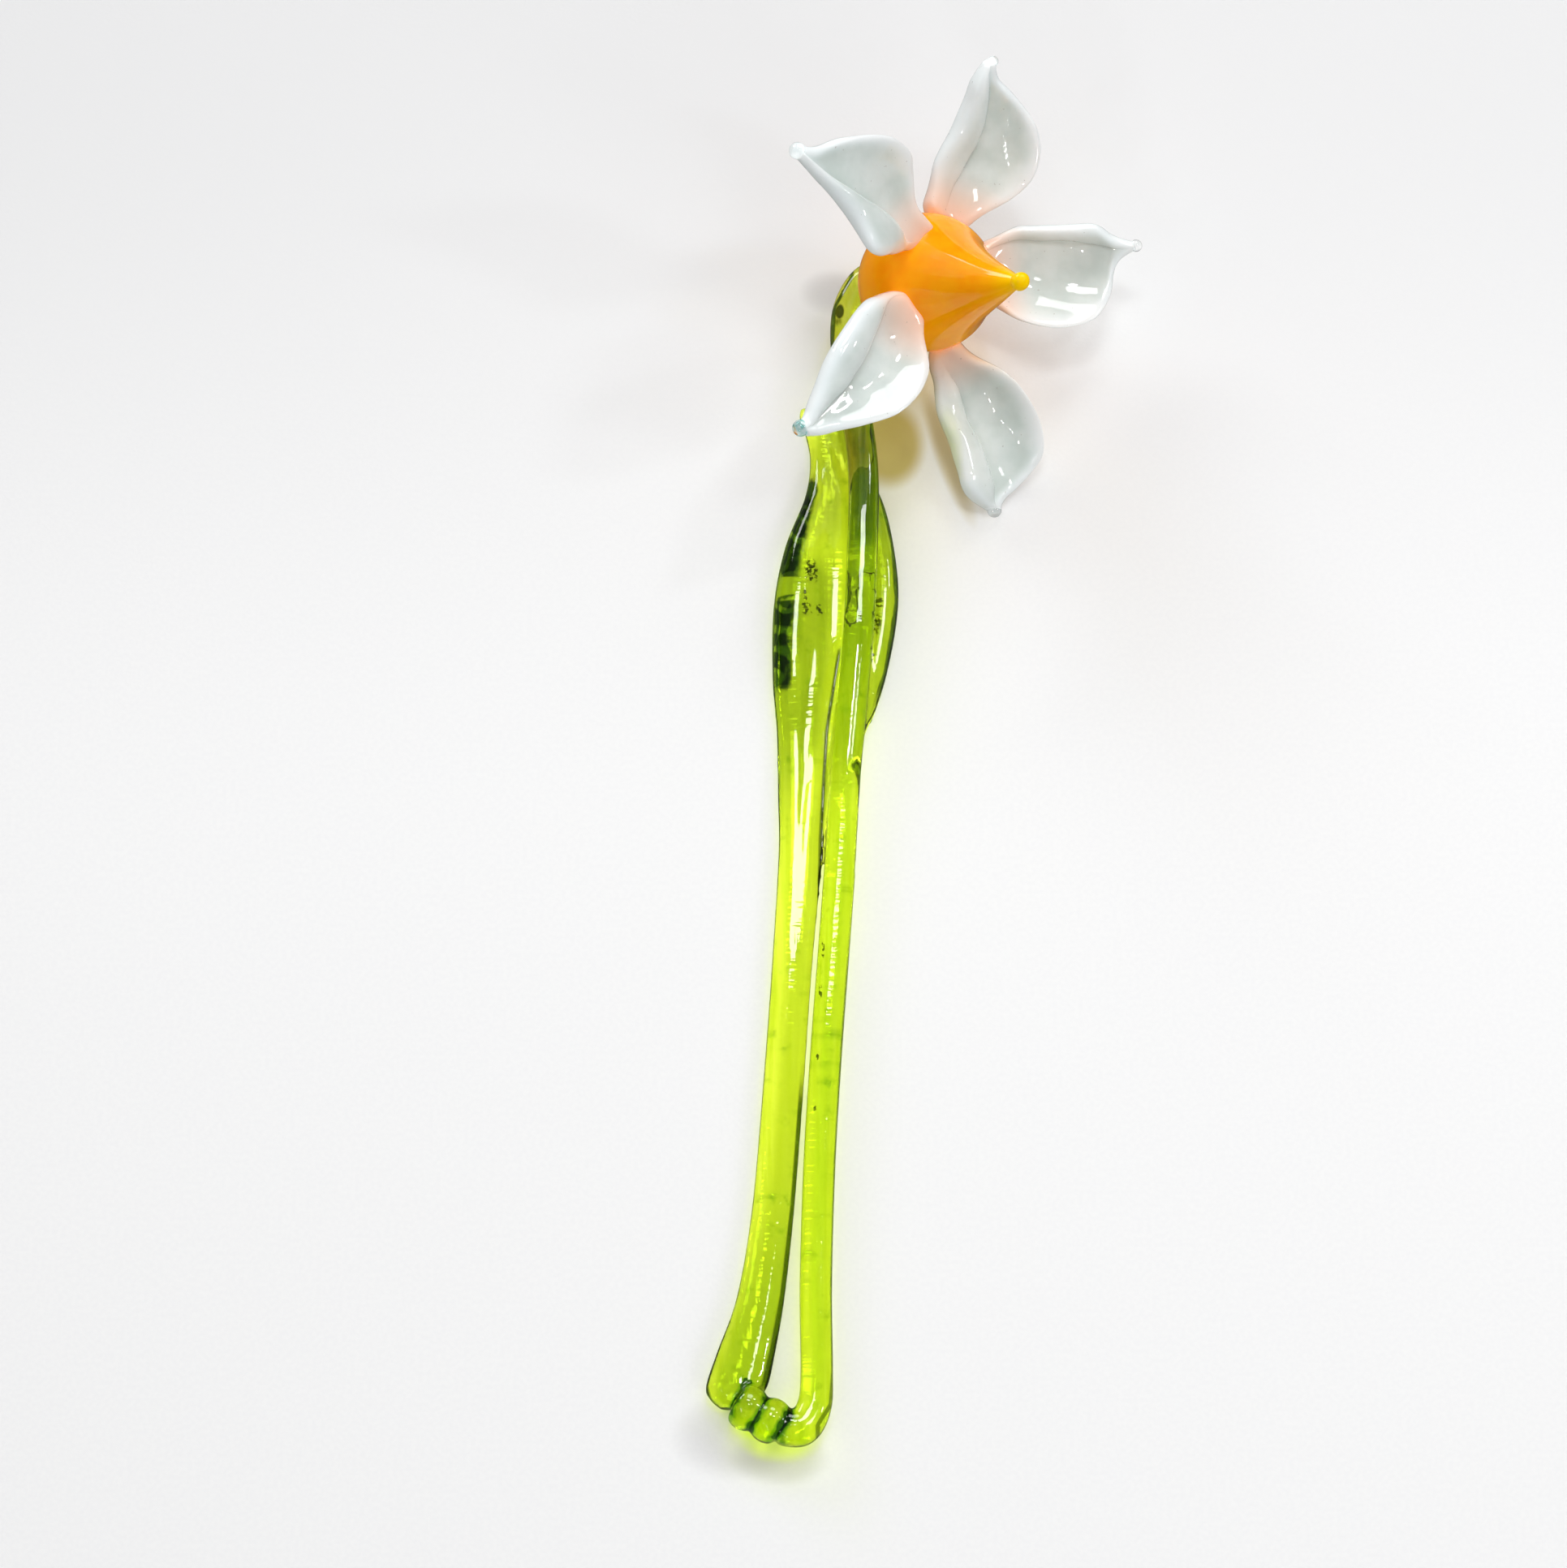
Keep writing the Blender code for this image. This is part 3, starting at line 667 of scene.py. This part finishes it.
def opal_glass():
    """Milky white, bluer at its rims, with painted warm light from the ball near its root and
    painted green light from the leaf on one side. It is faintly rippled, and holds a few dark
    grains."""
    recipe = new_recipe("opal_glass")
    rim = recipe.marked("rim")
    clouds = recipe.noise(6 * MM, 3.0)
    milk = recipe.blend(clouds.ramp(0.3, 0.7), (0.635, 0.70, 0.675), (0.76, 0.805, 0.79))
    edged = recipe.blend(rim.ramp(0.65, 1.0) * 0.85, milk, (0.90, 0.95, 0.97))
    # Painted warm light from the orange ball, near the petals' roots.
    glow = recipe.marked("near_ball").ramp(0.5, 9.0, 1.0, 0.0)
    ball_lit = recipe.blend(glow * 0.8, edged, (0.92, 0.62, 0.48))
    greened = recipe.blend(recipe.spots(GREENED, 0.0, 1.0) * 0.5, ball_lit, (0.80, 0.88, 0.45))
    grains = recipe.noise(0.5 * MM, 0.0).ramp(0.83, 0.86) * 0.35
    ripples = recipe.noise(1.1 * MM, 1.0)
    surface = recipe.shader(
        Base_Color=recipe.blend(grains, greened, (0.25, 0.22, 0.18)),
        Roughness=0.03,
        IOR=1.5,
        Subsurface_Weight=0.9,
        Subsurface_Radius=(1.0, 1.0, 1.0),
        Subsurface_Scale=1.6 * MM,
        Normal=recipe.bump(ripples, 0.018 * MM),
    )
    return recipe.finish(recipe.lets_lamps_through(surface, (0.50, 0.45, 0.42)))


def clear_glass(name, tint):
    """Clear glass with clouds of a tint."""
    recipe = new_recipe(name)
    clouds = recipe.noise(1.2 * MM, 2.0)
    surface = recipe.shader(
        Base_Color=recipe.blend(clouds.ramp(0.30, 0.60), (1, 1, 1), tint),
        Roughness=0.01,
        IOR=1.5,
        Transmission_Weight=1.0,
    )
    return recipe.finish(recipe.lets_lamps_through(surface))


def table_white():
    """Plain white, with painted shade a little darker past the head as the camera sees it, and the
    painted light and shade that the glass throws. Gloss mirrors it only faintly, and farther out
    it's dark for all but the camera, so that it doesn't light the glass from the sides."""
    recipe = new_recipe("table_white")
    grain = recipe.noise(0.7 * MM, 3.0)
    white = recipe.blend(grain.ramp(0.3, 0.7), (0.88, 0.88, 0.885), (0.90, 0.90, 0.90))
    faint = recipe.blend(recipe.mirrored(), white, (0.12, 0.12, 0.12))
    seen = recipe.ray("Camera")
    own = recipe.node("ShaderNodeTexCoord", output="Object")
    reach = recipe.node("ShaderNodeVectorMath", {"operation": "LENGTH"}, [own], "Value")
    beyond = reach.ramp(0.15, 0.22) * (1 - seen)
    past_head = recipe.node("ShaderNodeSeparateXYZ", None, [own], "Y").ramp(-0.02, 0.14)
    # Painted shade, darker past the head, for the camera only.
    shade_past_head = recipe.blend(past_head * seen, faint, (0.765, 0.765, 0.77))
    shaded = recipe.blend(recipe.spots(SHADE, 0.0, 1.0) * 0.45, shade_past_head, (0.45, 0.44, 0.44))
    limed = recipe.blend(recipe.spots(LIME_LIGHT, 0.1, 1.0) * 0.75, shaded, (0.78, 0.88, 0.22))
    olive = recipe.blend(recipe.spots(OLIVE_LIGHT, 0.3, 1.0) * 0.9, limed, (0.52, 0.42, 0.12))
    brown = recipe.spots(BROWN_SHADE, 0.0, 1.0, BROWN_SLANT)
    browned = recipe.blend(brown * 0.8, olive, (0.55, 0.45, 0.22))
    surface = recipe.shader(
        Base_Color=recipe.blend(beyond, browned, (0.03, 0.03, 0.03)),
        Roughness=0.9,
        Specular_IOR_Level=0.1,
        Normal=recipe.bump(grain, 0.02 * MM),
    )
    return recipe.finish(surface)


# ---------------------------------------------------------------- making a piece

SAME_PLACE = 0.001 * MM  # vertices nearer than this are merged


def own_piece(name, bm, material, slot, *nodes):
    """A smooth piece of glass with its place in its mesh, standing for some CAD nodes."""
    bmesh.ops.remove_doubles(bm, verts=bm.verts, dist=SAME_PLACE)
    bmesh.ops.recalc_face_normals(bm, faces=bm.faces)
    mesh = bpy.data.meshes.new(name)
    bm.to_mesh(mesh)
    bm.free()
    mesh.shade_smooth()
    mesh.materials.append(material)
    piece = bpy.data.objects.new(name, mesh)
    bpy.context.scene.collection.objects.link(piece)
    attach(piece, "root")
    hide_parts(*nodes)
    return piece


def subdivide(piece, levels=1):
    finer = piece.modifiers.new("finer", "SUBSURF")
    finer.levels = levels
    finer.render_levels = levels


def within(value, limit):
    return min(max(value, -limit), limit)


def smooth_step(value):
    value = min(max(value, 0.0), 1.0)
    return value * value * (3 - 2 * value)


def through(stations, share):
    """The value at share, 0 to 1, of a smooth curve through the stations' rows."""
    place = share * (len(stations) - 1)
    i = min(int(place), len(stations) - 2)
    t = place - i
    rows = [Vector(stations[min(max(i + k, 0), len(stations) - 1)]) for k in (-1, 0, 1, 2)]
    before, start, end, after = rows
    return (
        start
        + (end - before) * t / 2
        + (before * 2 - start * 5 + end * 4 - after) * t**2 / 2
        + (start * 3 - before - end * 3 + after) * t**3 / 2
    )


def station_at(rows, column, value):
    """The row where a column has a value, straight between its neighbours. Past the rows'
    ends it's the end's row."""
    lowest, highest = sorted((rows[0][column], rows[-1][column]))
    value = min(max(value, lowest), highest)
    for before, after in zip(rows, rows[1:]):
        share = (value - before[column]) / (after[column] - before[column])
        if 0 <= share <= 1:
            return [start + (end - start) * share for start, end in zip(before, after)]


def closed_tube(sides, rings, place, marks=None):
    """A grid rolled up until its sides meet, with its ends closed. place gives a point from
    its shares along and around, and each of marks an attribute's value from the same and
    the point."""
    bm = bmesh.new()
    bmesh.ops.create_grid(bm, x_segments=sides, y_segments=rings, size=0.5)
    layers = [(bm.verts.layers.float.new(name), mark) for name, mark in (marks or {}).items()]
    for vert in bm.verts:
        along = vert.co.y + 0.5
        around = vert.co.x + 0.5
        vert.co = place(along, around)
        for layer, mark in layers:
            vert[layer] = mark(along, around, vert.co)
    bmesh.ops.remove_doubles(bm, verts=bm.verts, dist=SAME_PLACE)
    bmesh.ops.holes_fill(bm, edges=bm.edges)
    return bm


def turned(profile, sides):
    """A profile of (radius, height), from pole to pole, spun round Z."""
    bm = bmesh.new()
    verts = [bm.verts.new((radius, 0, height)) for radius, height in profile]
    for lower, upper in zip(verts, verts[1:]):
        bm.edges.new((lower, upper))
    bmesh.ops.spin(
        bm,
        geom=bm.verts[:] + bm.edges[:],
        axis=(0, 0, 1),
        cent=(0, 0, 0),
        steps=sides,
        angle=2 * pi,
        use_merge=True,
    )
    return bm


def smooth(bm, verts, passes):
    for _ in range(passes):
        bmesh.ops.smooth_vert(
            bm, verts=verts, factor=0.5, use_axis_x=True, use_axis_y=True, use_axis_z=True
        )


# ---------------------------------------------------------------- head


def polar(turn, reach, forward):
    angle = radians(turn)
    return Vector((cos(angle) * reach, sin(angle) * reach, forward))


def petal_tip(petal):
    return polar(petal.turn, petal.reach * MM, petal.forward * MM)


# The drawing is moved until the upper left petal's bead is where the frame has it.
HEAD_LEAN = Euler((HEAD_TILT, 0, HEAD_TURN)).to_matrix().to_4x4()
HEAD_AS_DRAWN = Matrix.Translation(HEAD_CENTRE) @ HEAD_LEAN
BEAD_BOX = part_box("petal_bead_1")
SHIFT = (BEAD_BOX[0] + BEAD_BOX[1]) / 2 - HEAD_AS_DRAWN @ petal_tip(UPPER_LEFT)
SETTLE = Matrix.Translation(SHIFT)
HEAD = SETTLE @ HEAD_AS_DRAWN


def corona_profile():
    """(radius, height) from the pole behind the ball to the pole of the tip's bead."""
    shoulder = pi - SHOULDER_ANGLE
    points = []
    for i in range(BALL_STEPS):
        angle = shoulder * i / BALL_STEPS
        points.append((BALL_RADIUS * sin(angle), -BALL_RADIUS * cos(angle)))
    start_radius = BALL_RADIUS * sin(shoulder)
    start_height = -BALL_RADIUS * cos(shoulder)
    end_height = TIP_BEAD_FORWARD - TIP_BEAD_RADIUS * cos(TIP_BEAD_START) - CONE_END_GAP
    for i in range(CONE_STEPS + 1):
        share = i / CONE_STEPS
        radius = start_radius + (CONE_END_RADIUS - start_radius) * share
        radius *= 1 - CONE_HOLLOW * 4 * share * (1 - share)
        points.append((radius, start_height + (end_height - start_height) * share))
    for i in range(TIP_BEAD_STEPS + 1):
        angle = TIP_BEAD_START + (pi - TIP_BEAD_START) * i / TIP_BEAD_STEPS
        height = TIP_BEAD_FORWARD - TIP_BEAD_RADIUS * cos(angle)
        points.append((TIP_BEAD_RADIUS * sin(angle), height))
    return points


def make_corona(material):
    bm = turned(corona_profile(), CORONA_SIDES)
    tip_mark = bm.verts.layers.float.new("toward_tip")
    length = BALL_RADIUS + TIP_BEAD_FORWARD + TIP_BEAD_RADIUS
    for vert in bm.verts:
        vert[tip_mark] = (vert.co.z + BALL_RADIUS) / length
        drawn_out = max(vert.co.z, 0) / TIP_BEAD_FORWARD
        vert.co.x += TIP_DRIFT.x * drawn_out**2
        vert.co.y += TIP_DRIFT.y * drawn_out**2
        vert.co *= 1 + CORONA_UNEVEN * noise.noise(vert.co / CORONA_UNEVEN_SIZE)
    bmesh.ops.transform(bm, matrix=HEAD, verts=bm.verts)
    return own_piece("corona_drop", bm, material, "orange_glass", "corona")


def petal_section(petal, row, around):
    """Across and up of a point on the ring round the petal: under it, over its web to the
    crease, and over the fold."""
    fold_edge, crease, free_edge, fold, thickness = (value * MM for value in row[1:])
    face = 1
    lift = 0
    if around < UNDER_SHARE:
        face = -1
        sweep = pi * around / UNDER_SHARE
        across = (fold_edge + free_edge) / 2 + (fold_edge - free_edge) / 2 * cos(sweep)
    elif around < UNDER_SHARE + WEB_SHARE:
        sweep = pi * (around - UNDER_SHARE) / WEB_SHARE
        across = (crease + free_edge) / 2 - (crease - free_edge) / 2 * cos(sweep)
    else:
        sweep = pi * (around - UNDER_SHARE - WEB_SHARE) / (1 - UNDER_SHARE - WEB_SHARE)
        across = crease + (fold_edge - crease) * ((1 - cos(sweep)) / 2) ** petal.skew
        lift = fold * sin(sweep)
    middle = (fold_edge + free_edge) / 2
    from_middle = (across - middle) / ((fold_edge - free_edge) / 2)
    rim = max(1 - abs(from_middle) ** RIM_POWER, 0) ** (1 / RIM_POWER)
    inside = (across - free_edge) / EDGE_BULGE_WIDTH
    thickness += EDGE_BULGE * exp(-((inside - 1) ** 2))
    curve = petal.cup if across > 0 else petal.bowl
    up = curve * across**2 / (petal.half_width * MM) + face * thickness / 2 * rim + lift
    if face > 0:
        depth = CREASE_DEPTH * smooth_step(fold / CREASE_FOLD)
        up -= depth * exp(-(((across - crease) / CREASE_WIDTH) ** 2))
    return across, up


def petal_point(petal, share, around):
    """A point of a petal, from its shares along its stations and around a ring."""
    row = through(petal.stations, share)
    along = row[0]
    across, up = petal_section(petal, row, around)
    start = petal.stations[0][0]
    into = min(max((along - start) / ROOT_ROUND, 0), 1)
    rounding = sqrt(into * (2 - into))
    middle = (row[1] + row[3]) / 2 * MM
    across = middle + (across - middle) * rounding
    up *= rounding
    axis = Vector((0, 0, 1))
    side = axis.cross(polar(petal.turn, 1, 0))
    root_reach = sqrt(BALL_RADIUS**2 - (petal.root_forward * MM) ** 2) * ROOT_SUNK
    root = polar(petal.root_turn, root_reach, petal.root_forward * MM)
    swing = (side * petal.sway - axis * petal.bow) * MM
    reach = petal_tip(petal) - root
    middle_line = root + reach * along + swing * 4 * along * (1 - along)
    run = (reach + swing * 4 * (1 - 2 * along)).normalized()
    lean = Matrix.Rotation(radians(petal.tilt + petal.twist * (along - 0.5)), 3, run)
    flat = lean @ axis.cross(run).normalized()
    return middle_line + flat * across * petal.folded_side + run.cross(flat) * up


def rim_share(petal, share, around, _point):
    """1 at a petal's edges, and less inside them."""
    row = through(petal.stations, share)
    across = petal_section(petal, row, around)[0] / MM
    return 1 - min(across - row[3], row[1] - across) / petal.half_width


def from_ball(_share, _around, point):
    return (point.length - BALL_RADIUS) / MM


def make_petal(number, petal, material):
    marks = {"rim": partial(rim_share, petal), "near_ball": from_ball}
    bm = closed_tube(PETAL_SIDES, PETAL_RINGS, partial(petal_point, petal), marks)
    smooth(bm, bm.verts, PETAL_SMOOTHING)
    bm.normal_update()
    for vert in bm.verts:
        vert.co += vert.normal * PETAL_UNEVEN * noise.noise(vert.co / PETAL_UNEVEN_SIZE)
    bmesh.ops.transform(bm, matrix=HEAD, verts=bm.verts)
    piece = own_piece(f"petal_{number}_glass", bm, material, "opal_glass", f"petal_{number}")
    subdivide(piece)
    return piece


def make_petal_bead(number, petal, material):
    bm = bmesh.new()
    radius = petal.bead * MM
    bmesh.ops.create_uvsphere(bm, u_segments=BEAD_SIDES, v_segments=BEAD_RINGS, radius=radius)
    bmesh.ops.transform(bm, matrix=HEAD @ Matrix.Translation(petal_tip(petal)), verts=bm.verts)
    name = f"petal_{number}_drop"
    return own_piece(name, bm, material, "clear_glass", f"petal_bead_{number}")


# ---------------------------------------------------------------- stem, leaf and foot


def along_line(line, y):
    """X of a line of (y, x) points, falling in y, and its strength, 0 past its ends."""
    strength = smooth_step((line[0][0] - y) / LINE_FADE) * smooth_step((y - line[-1][0]) / LINE_FADE)
    return station_at(line, 0, y)[1], strength


def stem_stations():
    """The stem's whole route, from behind the ball to inside the collar."""
    behind = HEAD_AS_DRAWN @ Vector((0, 0, -BALL_RADIUS * ROOT_SUNK)) / MM
    into_collar = (COLLAR_END - COLLAR_START).normalized()
    foot = (COLLAR_START + into_collar * FOOT_SUNK) / MM
    return ((*behind, NECK_THICKNESS), *STEM_ROUTE, (*foot, FOOT_THICKNESS))


def stem_point(stations, along, around):
    row = through(stations, along)
    ahead = through(stations, min(along + STEM_LOOK, 1))
    run = (ahead - through(stations, max(along - STEM_LOOK, 0))).xyz
    side = run.cross((0, 0, 1)).normalized()
    up = side.cross(run).normalized()
    angle = 2 * pi * around
    squared = abs(cos(angle)) ** ROD_SQUARENESS + abs(sin(angle)) ** ROD_SQUARENESS
    reach = ROD_RADIUS * row.w * squared ** (-1 / ROD_SQUARENESS)
    return row.xyz * MM + (side * cos(angle) + up * sin(angle)) * reach


def leaf_streak(across, y):
    return sum(
        share * noise.noise((across * count, y / length, place))
        for share, count, length, place in LEAF_STREAKS
    )


def leaf_point(along, around):
    y, middle, half_width, thickness, pressed = through(LEAF_STATIONS, along)
    angle = 2 * pi * around
    across = cos(angle)
    x = middle + half_width * across
    edge = ROD_EDGE + (BLADE_EDGE - ROD_EDGE) * pressed
    if around < 0.5:
        margin = 1 + (BLADE_MARGIN[across > 0] - 1) * pressed
        into = max((abs(across) - 1 + margin) / margin, 0)
        height = thickness * (edge + (1 - edge) * sqrt(max(1 - into**2, 0)))
        from_crest = min(max(across - BLADE_CREST, 0), BLADE_HOLLOW - BLADE_CREST) * half_width
        height -= BLADE_LEAN * from_crest * pressed * sin(angle)
        for tall, wide, line in LEAF_RIDGES:
            line_x, strength = along_line(line, y)
            height += tall * strength * exp(-(((x - line_x) / wide) ** 2)) * sin(angle)
        streaks = ROD_STREAKS + (1 - ROD_STREAKS) * pressed
        height += LEAF_STREAK_HEIGHT * leaf_streak(across, y) * streaks * sin(angle)
    else:
        height = thickness * edge * (1 - abs(sin(angle)) ** LEAF_RIM_POWER)
    return Vector((x * MM, y * MM, max(height * MM - LEAF_FLAT, 0)))


def collar_mesh():
    """Two swellings along the short rod that joins the leaf's foot to the stem's."""
    axis = COLLAR_END - COLLAR_START
    profile = [(0, 0)]
    for i in range(COLLAR_STEPS + 1):
        share = i / COLLAR_STEPS
        from_middle = 2 * (share * COLLAR_RIDGES % 1) - 1
        swell = sqrt(max(1 - from_middle**2, 0)) if 0 < share < 1 else 0
        profile.append((COLLAR_WAIST + COLLAR_RIDGE_HEIGHT * swell, axis.length * share))
    profile.append((0, axis.length))
    bm = turned(profile, COLLAR_SIDES)
    lean = axis.to_track_quat("Z", "Y").to_matrix().to_4x4()
    bmesh.ops.transform(bm, matrix=Matrix.Translation(COLLAR_START) @ lean, verts=bm.verts)
    return bm


def in_gap(point):
    """Whether a drawn point is in the narrow gap under the stem, beside the leaf."""
    x, y, z = point / MM
    return GAP_X[0] < x < GAP_X[1] and GAP_Y[0] < y < GAP_Y[1] and z < GAP_TOP


def fused(parts):
    """Glass parts melted into one smooth skin. Returns its bmesh."""
    together = bpy.data.meshes.new("fused")
    whole = bmesh.new()
    for part in parts:
        bmesh.ops.recalc_face_normals(part, faces=part.faces)
        part.to_mesh(together)
        part.free()
        whole.from_mesh(together)
    whole.to_mesh(together)
    whole.free()
    obj = bpy.data.objects.new("fused", together)
    bpy.context.scene.collection.objects.link(obj)
    melt = obj.modifiers.new("melt", "REMESH")
    melt.mode = "VOXEL"
    melt.voxel_size = GREEN_VOXEL
    graph = bpy.context.evaluated_depsgraph_get()
    melted = bpy.data.meshes.new_from_object(obj.evaluated_get(graph))
    skin = bmesh.new()
    skin.from_mesh(melted)
    bpy.data.objects.remove(obj)
    bpy.data.meshes.remove(together)
    bpy.data.meshes.remove(melted)
    smooth(skin, skin.verts, GREEN_SMOOTHING)
    smooth(skin, [vert for vert in skin.verts if in_gap(vert.co)], GAP_SMOOTHING)
    return skin


def leaf_place(point):
    """How far across the leaf a drawn point is, -1 to 1, and whether it's on the leaf."""
    y, middle, half_width, thickness, _ = station_at(LEAF_STATIONS, 0, point.y / MM)
    across = (point.x / MM - middle) / half_width
    beside = abs(across) < ON_ROD and abs(point.y / MM - y) < ON_LEAF_END
    return within(across, ACROSS_LIMIT), beside and point.z / MM < thickness + ON_LEAF_TOP


def stem_place(point):
    """How far across the stem a drawn point is, -1 to 1, and whether it's on the stem."""
    middle_x, _, middle_z, _ = station_at(STEM_ROUTE, 1, point.y / MM)
    across = (point.x - middle_x * MM) / ROD_RADIUS
    level = abs(point.z - middle_z * MM) < ROD_RADIUS * ON_STEM_LEVEL
    return within(across, ACROSS_LIMIT), abs(across) < ON_ROD and level


def seam_at(point):
    """How near a drawn point is to a seam between the foot's swellings, 0 to 1."""
    axis = COLLAR_END - COLLAR_START
    along = (point - COLLAR_START).dot(axis) / axis.length_squared
    off = (point - COLLAR_START - axis * along).length
    if off > COLLAR_WAIST + COLLAR_RIDGE_HEIGHT * ON_COLLAR:
        return 0
    nearest = min(abs(along - seam / COLLAR_RIDGES) for seam in range(COLLAR_RIDGES + 1))
    return exp(-((nearest * axis.length / SEAM_WIDTH) ** 2))


def crevice_at(point):
    """How near a drawn point is to the leaf and stem's cleft, for its painted shade, 0 to 1."""
    if point.z / MM >= CREVICE_TOP:
        return 0
    line_x, strength = along_line(CREVICE, point.y / MM)
    aside = (point.x / MM - line_x) / CREVICE_WIDTH
    return strength * exp(-(aside**2))


def make_green(material):
    """The stem, the leaf and the foot, fused."""
    parts = [
        closed_tube(STEM_SIDES, STEM_RINGS, partial(stem_point, stem_stations())),
        closed_tube(LEAF_SIDES, LEAF_RINGS, leaf_point),
        collar_mesh(),
    ]
    bm = fused(parts)
    names = ("across_leaf", "across_stem", "on_leaf", "on_stem", "crevice", "seam")
    layers = [bm.verts.layers.float.new(name) for name in names]
    for vert in bm.verts:
        vert.co.z = max(vert.co.z, 0)
        across_leaf, on_leaf = leaf_place(vert.co)
        across_stem, on_stem = stem_place(vert.co)
        only_leaf = on_leaf and not on_stem
        crevice = crevice_at(vert.co)
        values = (across_leaf, across_stem, only_leaf, on_stem, crevice, seam_at(vert.co))
        for layer, value in zip(layers, values):
            vert[layer] = value
    bmesh.ops.transform(bm, matrix=SETTLE, verts=bm.verts)
    return own_piece("stem_and_leaf", bm, material, "green_glass", "stem", "leaf", "foot_collar")


# ---------------------------------------------------------------- table, light and camera


def make_table(material):
    bm = bmesh.new()
    bmesh.ops.create_grid(bm, x_segments=1, y_segments=1, size=TABLE_SIZE / 2)
    mesh = bpy.data.meshes.new("table")
    bm.to_mesh(mesh)
    bm.free()
    mesh.materials.append(material)
    table = bpy.data.objects.new("table", mesh)
    table.location.z = -TABLE_DROP
    bpy.context.scene.collection.objects.link(table)


def aimed(obj, place, target):
    obj.location = place
    obj.rotation_euler = (Vector(target) - Vector(place)).to_track_quat("-Z", "Y").to_euler()
    bpy.context.scene.collection.objects.link(obj)


def make_light(name, direction, distance, size, power):
    """A rectangular lamp at some distance along a direction from the flower's middle."""
    lamp = bpy.data.lights.new(name, "AREA")
    lamp.shape = "RECTANGLE"
    lamp.size, lamp.size_y = size
    lamp.energy = power
    light = bpy.data.objects.new(name, lamp)
    aimed(light, Vector(direction).normalized() * distance, (0, 0, 0))
    return light


def make_sky():
    """A bright ceiling over dark walls, which the glass mirrors. The camera sees it pale."""
    world = bpy.data.worlds.new("room")
    bpy.context.scene.world = world
    recipe = Recipe(world)
    direction = recipe.node("ShaderNodeTexCoord", output="Generated")
    height = recipe.node("ShaderNodeSeparateXYZ", None, [direction], "Z")
    seen = recipe.ray("Camera")
    lit = height.ramp(0.15, 0.62, WALL_GLOW, CEILING_GLOW) * (1 - recipe.mirrored() * 0.5)
    strength = lit + seen * (SEEN_GLOW - lit)
    glow = recipe.node("ShaderNodeBackground", None, {"Color": (1, 1, 1), "Strength": strength})
    recipe.node("ShaderNodeOutputWorld", None, {"Surface": glow})


def make_camera():
    """Looks down on the flower from past its foot, through a long lens."""
    camera = bpy.data.cameras.new("camera")
    camera.lens = CAMERA_LENS
    camera.clip_start = 0.01
    back = Vector((0, -cos(CAMERA_ELEVATION), sin(CAMERA_ELEVATION)))
    obj = bpy.data.objects.new("camera", camera)
    aimed(obj, SHIFT + back * CAMERA_DISTANCE, SHIFT)
    bpy.context.scene.camera = obj


def make_lights():
    for light in LIGHTS:
        make_light(*light)
    for i in range(STRING_LAMPS):
        direction = STRING_START.lerp(STRING_END, i / (STRING_LAMPS - 1))
        make_light(f"string_{i}", direction, *STRING_LAMP)
    make_light(*FILL).visible_glossy = False


def main():
    green = green_glass()
    opal = opal_glass()
    clear = clear_glass("clear_glass", (0.72, 0.76, 0.76))
    # The lower left petal's bead is clear glass; its teal is painted, standing in for the green leaf
    # seen through it.
    teal = clear_glass("clear_glass_painted_teal", (0.04, 0.38, 0.34))
    make_corona(orange_glass())
    for number, petal in enumerate(PETALS, 1):
        make_petal(number, petal, opal)
        make_petal_bead(number, petal, teal if petal is LOWER_LEFT else clear)
    make_green(green)
    make_table(table_white())
    make_lights()
    make_sky()
    make_camera()
    bpy.context.scene.view_settings.view_transform = "Standard"


main()
